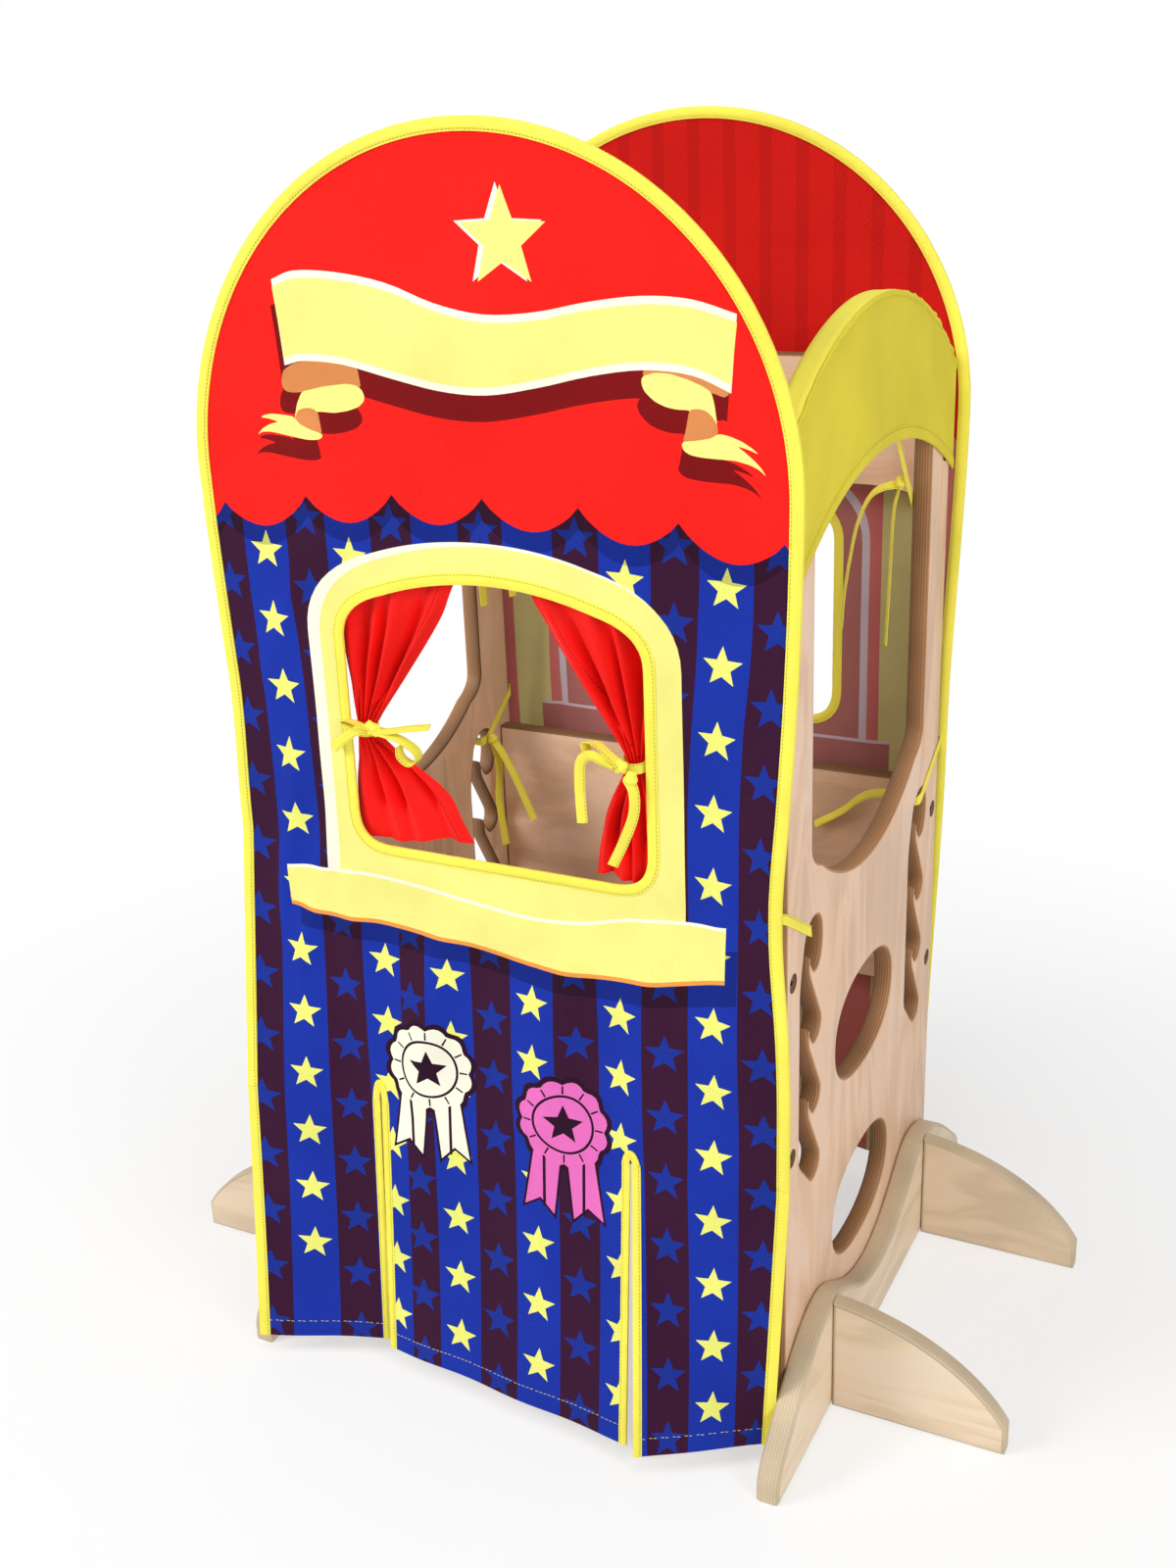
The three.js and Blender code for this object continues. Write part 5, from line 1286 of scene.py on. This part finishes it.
class STAND_OT_bindings(bpy.types.Operator):
    """Makes the yellow bindings of edges, slits and windows, and finishes the hoops inside them."""

    bl_idname = "puppet_stand.bindings"
    bl_label = "Bindings and hoops"

    def execute(self, context):
        for end, side, low in (("front", -1, FLAP_TOP), ("rear", 1, REAR_HEM)):
            self.edge(end, side, low)
            self.window(end, side)
        for name, flap in FLAPS.items():
            self.flap(name, flap)
        for name, (left, right), top in SLIT_TOPS:
            line = bezier((left, FLAP_TOP), (left + 1, top - 6), ((left + right) / 2, top + 8),
                          (right - 1, top - 6), (right, FLAP_TOP), steps=20)
            at = hang_front(line) + (0, -0.4, 0)
            across = unit(np.cross(unit(np.gradient(at, axis=0)), (0, -1.0, 0)))
            binding(f"{name}_slit_top_tape", "slit_top", at, across, (0, -1, 0))
        return {"FINISHED"}

    @staticmethod
    def edge(end, side, low):
        """The tape round a printed cloth and the bent rod in it; the front one follows the cloth's lean."""
        x, z = edge_line(side, low, BINDING_INSET).T
        across = unit(np.column_stack([x, 0 * x, np.maximum(z - CLOTH_CENTRE, 0)]))
        shift, lean = askew(x, z) if side < 0 else (0, 0)
        lean = front_billow(0 * z, z) + lean if side < 0 else 0
        at = np.column_stack([x + shift, side * (CLOTH_Y + lean + 0 * x), z])
        binding(f"{end}_edge_tape", "edge", at, across, (0, side, 0), nodes=[f"{end}_edge_binding"], pucker=0.25,
                seed=side)
        sewn(tape(f"{end}_hoop", at, across, (0, side, 0), disc(0, 0, HOOP_RADIUS, count=10)), "tower",
             [f"{end}_hoop_rod"], finish_for("pultruded_glass_fibre", glass_fibre_rod), "hoop_rod")

    @staticmethod
    def window(end, side):
        outline = np.array(opening_line(OPENING_BINDING / 2))
        ahead = np.roll(outline, -1, axis=0) - np.roll(outline, 1, axis=0)
        outwards = unit(np.column_stack([ahead[:, 1], 0 * ahead[:, 0], -ahead[:, 0]]))
        at = np.insert(outline, 1, side * CLOTH_Y, axis=1)
        binding(f"{end}_window_tape", "window", at, outwards, (0, side, 0), closed=True, pucker=0.3, seed=2 * side)

    @staticmethod
    def flap(name, flap):
        """The tapes down both edges of a flap: wide ones at the cloth's outer edges, narrow ones at the slits."""
        for side, width, edge, way in zip(("left", "right"), flap["tapes"], flap["hinge"], (1, -1)):
            u = edge + way * width / 2
            v = np.linspace(FLAP_TOP, HINGE - flap_length(flap, u), 60)
            at, near = (hang_flap(flap, np.column_stack([np.full_like(v, place), v])) for place in (u, u + 1))
            across = unit(near - at) * -way
            out = unit(np.cross(across, unit(np.gradient(at, axis=0)))) * way
            binding(f"{name}_flap_{side}_tape", "flap" if width > SLIT_BINDING else "slit", at, across, out,
                    ("tower", f"{name}_flap"), pucker=0.25, seed=u)


def cover_rows():
    """Rows (z or angle stations) of the side cover, from the outer lower arc over the panel to the inner edge."""
    rows = []
    stations = np.linspace(-COVER_REACH, COVER_REACH, 66)
    for share in np.linspace(0, 1, 26):
        low = COVER_LOW_CENTRE + np.sqrt(COVER_LOW_RADIUS ** 2 - (stations - COVER_LOW_OFFSET) ** 2)
        high = ARCH_CENTRE + np.sqrt(COVER_RADIUS ** 2 - stations ** 2) - 2.2
        rows.append((OUTER_X + COVER_STANDOFF, low + (high - low) * share))
    top = ARCH_CENTRE + np.sqrt((COVER_RADIUS + 0.2) ** 2 - stations ** 2)
    for share in (0.1, 0.3, 0.5, 0.7, 0.9):
        rows.append((OUTER_X + COVER_STANDOFF - share * (OUTER_X - INNER_X + 2 * COVER_STANDOFF), top))
    for share in np.linspace(0, 1, 10):
        rows.append((INNER_X - COVER_STANDOFF, top - 2.4 - (top - 2.4 - COVER_INNER) * share))
    return stations, rows


class STAND_OT_covers(bpy.types.Operator):
    """Makes the two yellow covers that lie over the arches of the tower's sides."""

    bl_idname = "puppet_stand.covers"
    bl_label = "Side covers"

    def execute(self, context):
        stations, rows = cover_rows()
        for side, way in SIDES:
            points, runs = [], [0.0]
            for k, (x, z) in enumerate(rows):
                skin_share = smoothstep(k / 5) * (k < COVER_FOLD)
                slack = 1.3 * np.sin(stations / 34 + 0.012 * z + way) * np.sin(stations / 83 - 0.6)
                slack = slack + 0.8 * np.exp(-((z - 900 - 0.25 * stations * way) / 16) ** 2)
                pull = skin_share * smoothstep((COVER_FOLD - 1 - k) / 5) * np.maximum(slack, -0.4)
                gather = 1.1 * np.exp(-((k - COVER_FOLD - 1) / 1.6) ** 2) * np.maximum(
                    np.sin(stations / 2.9 + 2.2 * np.sin(stations / 19)), -0.3)
                out = np.maximum(pull, 0) + gather * (k <= COVER_FOLD)
                points.append(np.column_stack([way * (x + out), stations, z + gather * (k >= COVER_FOLD)]))
                if k:
                    step = points[-1][len(stations) // 2] - points[-2][len(stations) // 2]
                    runs.append(runs[-1] + float(np.linalg.norm(step)))
            points = np.array(points)
            piece = sheet_of_rows(f"{side}_side_cover_cloth", points, np.dstack(np.meshgrid(stations, runs)),
                                  ((0, 0), (0, 1), (1, 1), (1, 0))[::way])
            # painted light and shade: the strip over the panel's edge takes the brighter tape yellow, and the face
            # keeps the darker cover yellow
            for k, face in enumerate(piece.data.polygons):
                face.material_index = COVER_FOLD <= k // (len(stations) - 1) <= COVER_FOLD + COVER_LIT_STRIP_ROWS
            clean(piece)
            shape_with(piece, "SOLIDIFY", thickness=context.scene.stand_cloth.thickness, offset=0)
            smooth(piece, 50)
            dress(piece, "tower", "yellow_cloth", [f"{side}_side_cover"], woven("yellow_polyester_cloth"),
                  woven("yellow_twill_tape"))
            self.hem(side, way, points)
            self.seam(side, way, points)
        return {"FINISHED"}

    @staticmethod
    def hem(side, way, points):
        """The stitched hem along the low arch."""
        line = points[0] + (way * 0.9, 0, 6.2)
        sewn(tape(f"{side}_cover_hem", line, (0, 0, 1), (way, 0, 0),
                  tape_profile(*COVER_HEM, (COVER_STITCH,)), pucker=0.2, seed=way),
             "tower", [], woven("yellow_polyester_cloth", COVER_STITCH + 6, "yellow_polyester_hem"))

    @staticmethod
    def seam(side, way, points):
        """The raised seam where the cover's face meets the strip over the panel's edge."""
        line = points[COVER_FOLD] + (way * 0.3, 0, 0.3)
        sewn(tape(f"{side}_cover_seam", line, (0, 0, 1), (way, 0, 0),
                  tape_profile(*COVER_SEAM, count=7), pucker=0.7, seed=way), "tower", [],
             woven("yellow_polyester_cloth"))


class STAND_OT_curtains(bpy.types.Operator):
    """Makes the two satin curtains, gathered by their ties."""

    bl_idname = "puppet_stand.curtains"
    bl_label = "Curtains"

    def execute(self, context):
        for side, way in SIDES[::-1]:
            edges = np.array(CURTAIN_ROWS[side], float)
            heights = np.linspace(edges[0, 0], edges[-1, 0], 86)
            smooth_edges = curve_through(edges, 10)
            order = np.argsort(smooth_edges[:, 0])
            low, high = (np.interp(heights, smooth_edges[order, 0], smooth_edges[order, k]) for k in (1, 2))
            share = np.linspace(0, 1, 150)
            width = high - low
            rows = heights[:, None]
            away = np.abs(rows - CURTAIN_TIE)
            gather = np.exp(-(away / CURTAIN_GATHER) ** 2)
            turned = share[None] if way < 0 else 1 - share[None]  # 0 at the sewn edge, 1 at the free one
            soft = sum(rise * np.exp(-((turned - place - lean * away / 100) / wide) ** 2)
                       * np.exp(-(away / reach) ** 2) for place, wide, rise, lean, reach in CURTAIN_FOLDS)
            fine = 3.4 * np.sin(math.tau * 5.5 * turned + 0.8 * np.sin(rows / 17))
            depth = (1 - gather) * soft + gather * fine + 1.2 * np.sin(turned * 5.1 + rows / 46) * (1 - gather)
            hem = np.exp(-(((1 - turned) * width[:, None] - CURTAIN_HEM + 1) / 0.9) ** 2) * (1 - gather)
            free = smoothstep((CURTAIN_FREE[1] - rows) / 24) * smoothstep((rows - CURTAIN_FREE[0]) / 24)
            free = free * (1 - gather)
            depth = (depth - 0.7 * hem) * (1 + 0.9 * free)  # the hem's crease, and deeper folds in the open window
            back = CURTAIN_BACK + 3.4 * smoothstep((rows - 800) / 24) + 4 * free
            x = low[:, None] + width[:, None] * share[None]
            y = -(CLOTH_Y - back + depth)
            droop = np.where(rows < CURTAIN_TIE, smoothstep((CURTAIN_TIE - rows) / 100), 0)
            z = rows + droop * (CURTAIN_HEM_RISE[side] * turned + 2.0 * np.sin(turned * 9 + 1))
            y = np.clip(y, CURTAIN_ROOM[0], CURTAIN_ROOM[1] + 14 * free)
            points = np.stack([x, y, z], axis=2)
            uvs = np.dstack(np.broadcast_arrays(rows, (1 - turned) * width[:, None]))
            piece = sheet_of_rows(f"{side}_satin_curtain", points, uvs, ((0, 0), (1, 0), (1, 1), (0, 1)))
            shape_with(piece, "SOLIDIFY", thickness=0.7 * MM, offset=0)
            smooth(piece, 60)
            dress(piece, "tower", "red_curtain_cloth", [f"{side}_curtain"],
                  woven("red_satin", CURTAIN_HEM, "red_satin"))
        return {"FINISHED"}


RIBBON_WIDTH, RIBBON_THICK, RIBBON_STITCH, RIBBON_STITCH_AT = 9.0, 1.2, 2.9, 7.9


def ribbon_piece(name, lines, node, knots):
    """Ribbons of one tie made one piece; each line is (points, "face" or "edge", the way that it turns)."""
    parts = []
    for k, (points, kind, way) in enumerate(lines):
        at = even_steps(points, 2.5)
        ahead = unit(np.gradient(at, axis=0))
        way = np.broadcast_to(np.asarray(way, float), at.shape)
        out = unit(np.cross(ahead, way)) if kind == "edge" else unit(way - ahead * (way * ahead).sum(1)[:, None])
        across = unit(np.cross(out, ahead))
        profile = tape_profile(RIBBON_WIDTH, RIBBON_THICK, RIBBON_THICK * 0.6, (RIBBON_STITCH,), 0.2, count=9)
        part = tape(f"{name}_{k}", at, across, out, profile, pucker=0.12, seed=k)
        clean(part)
        parts.append(part)
    pick(*parts, *knots)
    bpy.ops.object.join()
    piece = bpy.context.object
    piece.name = piece.data.name = name
    smooth(piece, 50)
    return dress(piece, "tower", "yellow_cloth", [node], woven("yellow_twill_tape", RIBBON_STITCH_AT))


def knot(name, at, radii, turn=0.0):
    """A soft knot: a ball pressed flat, with two wraps of the ribbon round it."""
    a = np.linspace(0, math.tau, 29)[:-1]
    b = np.linspace(0.02, math.pi - 0.02, 15)
    a, b = np.meshgrid(a, b)
    swell = 1 + 0.14 * np.cos(2 * (b - math.pi / 2) * 2.2 + a) + 0.05 * np.sin(3 * a + 2 * b)
    ball = np.stack([np.sin(b) * np.cos(a), np.sin(b) * np.sin(a), np.cos(b)], axis=2) * swell[..., None] * radii
    c, s = math.cos(turn), math.sin(turn)
    ball = ball @ np.array(((c, 0, s), (0, 1, 0), (-s, 0, c))) + at
    piece = skin(name, ball[:, ::-1])
    clean(piece)
    return piece


class STAND_OT_ties(bpy.types.Operator):
    """Makes the bows round the curtains and the ties that hold the theater to the tower's posts."""

    bl_idname = "puppet_stand.ties"
    bl_label = "Curtain bows and post ties"

    def execute(self, context):
        for side, way in SIDES[::-1]:
            self.bow(side, way)
            for end, ahead in ENDS:
                for level in ("upper", "lower"):
                    self.post_tie(side, way, end, ahead, level)
        return {"FINISHED"}

    @staticmethod
    def bow(side, way):
        centre = np.array(BOW_KNOTS[side])
        loop = [(way * BOW_X + BOW_HALF * math.cos(a), (BOW_FRONT + BOW_BACK) / -2
                 + (BOW_FRONT - BOW_BACK) / 2 * math.sin(a), CURTAIN_TIE + 2 * math.sin(a))
                for a in np.linspace(0, math.tau, 49)]
        lines = [(loop, "edge", (0, 0, 1))]
        for points, kind, turn in BOW_LINES[side]:
            spots = [centre + (u, -v, w) for u, v, w in points]
            lines.append((curve_through(spots, 8), kind, turn))
        second = np.array(BOW_SECOND_WRAP[side])
        balls = [knot(f"{side}_bow_knot", centre, (6.4, 4.6, 6.0), 0.4 * way),
                 knot(f"{side}_bow_wrap", centre + second * (1, -1, 1), (5.6, 4.4, 6.6), -0.5 * way)]
        ribbon_piece(f"{side}_curtain_bow", lines, f"{side}_curtain_tie", balls)

    @staticmethod
    def post_tie(side, way, end, ahead, level):
        if level == "upper":
            knot_y, height = UPPER_KNOT
            run = [(way * POST_INNER, ahead * y, z) for y, z in UPPER_RUN]
            lines = [(curve_through(run, 6), "face", (-way, 0, 0))]
        else:
            height, opening = LOWER_TIE, LOWER_TIE_POSTS[end]
            knot_y, top = opening + 13, height + POST_RISE
            corners = np.array([(POST_INNER, knot_y, height), (POST_INNER, POST_AHEAD, top),
                                (POST_OUTER, POST_AHEAD, top), (POST_OUTER, opening + 1, height),
                                (POST_INNER, opening - 0.5, height), (POST_INNER, knot_y, height)])
            corners *= (way, ahead, 1)
            line = [corners[0]]
            for a, b in zip(corners, corners[1:]):
                line += [a + (b - a) * t for t in (0.08, 0.5, 0.92)]
            lines = [(np.array([*line, corners[-1]]), "edge", (0, 0, 1))]
        kind = "beside" if (side, end, level) == ("right", "rear", "lower") else level
        for tail in POST_TAILS[kind]:
            points = [(way * (POST_FACE - 1 - u), ahead * (knot_y - v), height - 2 + w) for u, v, w in tail]
            lines.append((curve_through(points, 10), "face", (-way, -ahead * 0.6, 0.1)))
        name = f"{side}_{end}_{level}"
        ball = knot(f"{name}_knot", (way * (POST_FACE + 0.6), ahead * knot_y, height), (5.2, 6.4, 6.2))
        ribbon_piece(f"{name}_post_tie", lines, f"{name}_tie", [ball])


# Stage ----------------------------------------------------------------------------------------------

LIGHTS = (("key_light", (-2.5, -2.4, 2.5), 1.6, 1.3), ("fill_light", (2.9, -1.9, 1.9), 1.8, 0.72),
          ("top_light", (0.5, -0.9, 3.3), 1.6, 0.3))  # place, size in metres and share of the key light's setting
LIT_PLACE = (0, 0, 0.6)


class STAND_OT_stage(bpy.types.Operator):
    """Makes the pale floor, the soft lights, the white surroundings and the photo's camera."""

    bl_idname = "puppet_stand.stage"
    bl_label = "Stage"

    def execute(self, context):
        stage = context.scene.stand_stage
        self.floor(stage)
        self.surroundings(context, stage)
        self.lights(stage)
        self.camera(context, stage)
        context.scene.view_settings.view_transform = "Standard"
        return {"FINISHED"}

    @staticmethod
    def direct_view(nodes):
        """1 where the camera looks, straight or by way of a mirror or a pane."""
        path = add(nodes, "LightPath")
        seen = path.outputs["Is Camera Ray"]
        for name in ("Is Glossy Ray", "Is Transmission Ray"):
            seen = add(nodes, "Math", (seen, path.outputs[name]), operation="MAXIMUM")
        return seen

    def matt_floor(self, nodes):
        """Pale matt floor, which fades to plain white to the camera away from the stand."""
        grain = add(nodes, "TexNoise", {"Vector": add(nodes, "TexCoord").outputs["Object"], "Scale": 5.0})
        tone = add(nodes, "MapRange", {"Value": grain, "To Min": 0.9, "To Max": 0.92})
        matt = add(nodes, "BsdfDiffuse", {"Color": tone})
        glow = add(nodes, "Emission", {"Color": (1, 1, 1, 1), "Strength": 1.0})
        near = add(nodes, "NewGeometry").outputs["Position"]
        near = add(nodes, "VectorMath", (near,), operation="LENGTH").outputs["Value"]
        far = add(nodes, "MapRange", {"Value": near, "From Min": 0.45, "From Max": 1.3, "To Min": 0.55,
                                      "To Max": 1.0})
        share = add(nodes, "Math", (self.direct_view(nodes), far), operation="MULTIPLY")
        return add(nodes, "MixShader", (share, matt, glow))

    def floor(self, stage):
        bpy.ops.mesh.primitive_plane_add(size=stage.floor_size, location=(0, 0, 0))
        floor = bpy.context.object
        floor.name = "studio_floor"
        floor.data.materials.append(finish_for("white_studio_floor", self.matt_floor))

    def surroundings(self, context, stage):
        world = bpy.data.worlds.new("white_surroundings")
        context.scene.world = world
        world.use_nodes = True
        nodes = world.node_tree.nodes
        nodes.clear()
        strength = add(nodes, "MapRange", {"Value": self.direct_view(nodes), "To Min": stage.ambient,
                                           "To Max": 1.0})
        glow = add(nodes, "Background", {"Color": (1, 1, 1, 1), "Strength": strength})
        add(nodes, "OutputWorld", {"Surface": glow})

    @staticmethod
    def lights(stage):
        for name, place, size, share in LIGHTS:
            light = bpy.data.lights.new(name, "AREA")
            light.energy, light.size = stage.key * share, size
            lamp = bpy.data.objects.new(name, light)
            bpy.context.scene.collection.objects.link(lamp)
            lamp.location = place
            lamp.rotation_euler = (Vector(LIT_PLACE) - lamp.location).to_track_quat("-Z", "Y").to_euler()

    @staticmethod
    def camera(context, stage):
        data = bpy.data.cameras.new("photo_camera")
        data.sensor_fit, data.sensor_height = "VERTICAL", 36
        data.lens = stage.focal_pixels * data.sensor_height / stage.image_height
        camera = bpy.data.objects.new("photo_camera", data)
        context.scene.collection.objects.link(camera)
        azimuth, elevation = stage.azimuth, stage.elevation
        back = Vector((math.sin(azimuth) * math.cos(elevation), -math.cos(azimuth) * math.cos(elevation),
                       math.sin(elevation)))
        right = (-back).cross(Vector((0, 0, 1))).normalized()
        above = right.cross(-back)
        c, s = math.cos(stage.roll), math.sin(stage.roll)
        axes = Matrix((c * right + s * above, -s * right + c * above, back)).transposed()
        camera.matrix_world = Matrix.Translation(row(np.array(stage.place) / MM)) @ axes.to_4x4()
        context.scene.camera = camera


STEPS = (STAND_OT_tower, STAND_OT_stabilizers, STAND_OT_screws, STAND_OT_cloths, STAND_OT_bindings,
         STAND_OT_covers, STAND_OT_curtains, STAND_OT_ties, STAND_OT_stage)


class STAND_PT_theater(bpy.types.Panel):
    """Lists the steps and settings of the stand."""

    bl_idname = "STAND_PT_theater"
    bl_label = "Puppet theater stand"
    bl_space_type = "VIEW_3D"
    bl_region_type = "UI"
    bl_category = "Theater"

    def draw(self, context):
        for step in STEPS:
            self.layout.operator(step.bl_idname)
        for group in SETTINGS:
            box_of = self.layout.box()
            for name in SETTINGS[group].__annotations__:
                box_of.prop(getattr(context.scene, group), name)


SETTINGS = {"stand_print": PrintColours, "stand_cloth": ClothSettings, "stand_wood": WoodSettings,
            "stand_stage": StageSettings}


def register():
    for kind in (*SETTINGS.values(), *STEPS, STAND_PT_theater):
        bpy.utils.register_class(kind)
    for name, kind in SETTINGS.items():
        setattr(bpy.types.Scene, name, PointerProperty(type=kind))


def unregister():
    for name in SETTINGS:
        delattr(bpy.types.Scene, name)
    for kind in (STAND_PT_theater, *reversed(STEPS), *reversed(tuple(SETTINGS.values()))):
        bpy.utils.unregister_class(kind)


def main():
    register()
    for step in STEPS:
        group, name = step.bl_idname.split(".")
        if getattr(getattr(bpy.ops, group), name)() != {"FINISHED"}:
            raise RuntimeError(f"{step.bl_label} didn't finish")


if __name__ == "__main__":
    main()
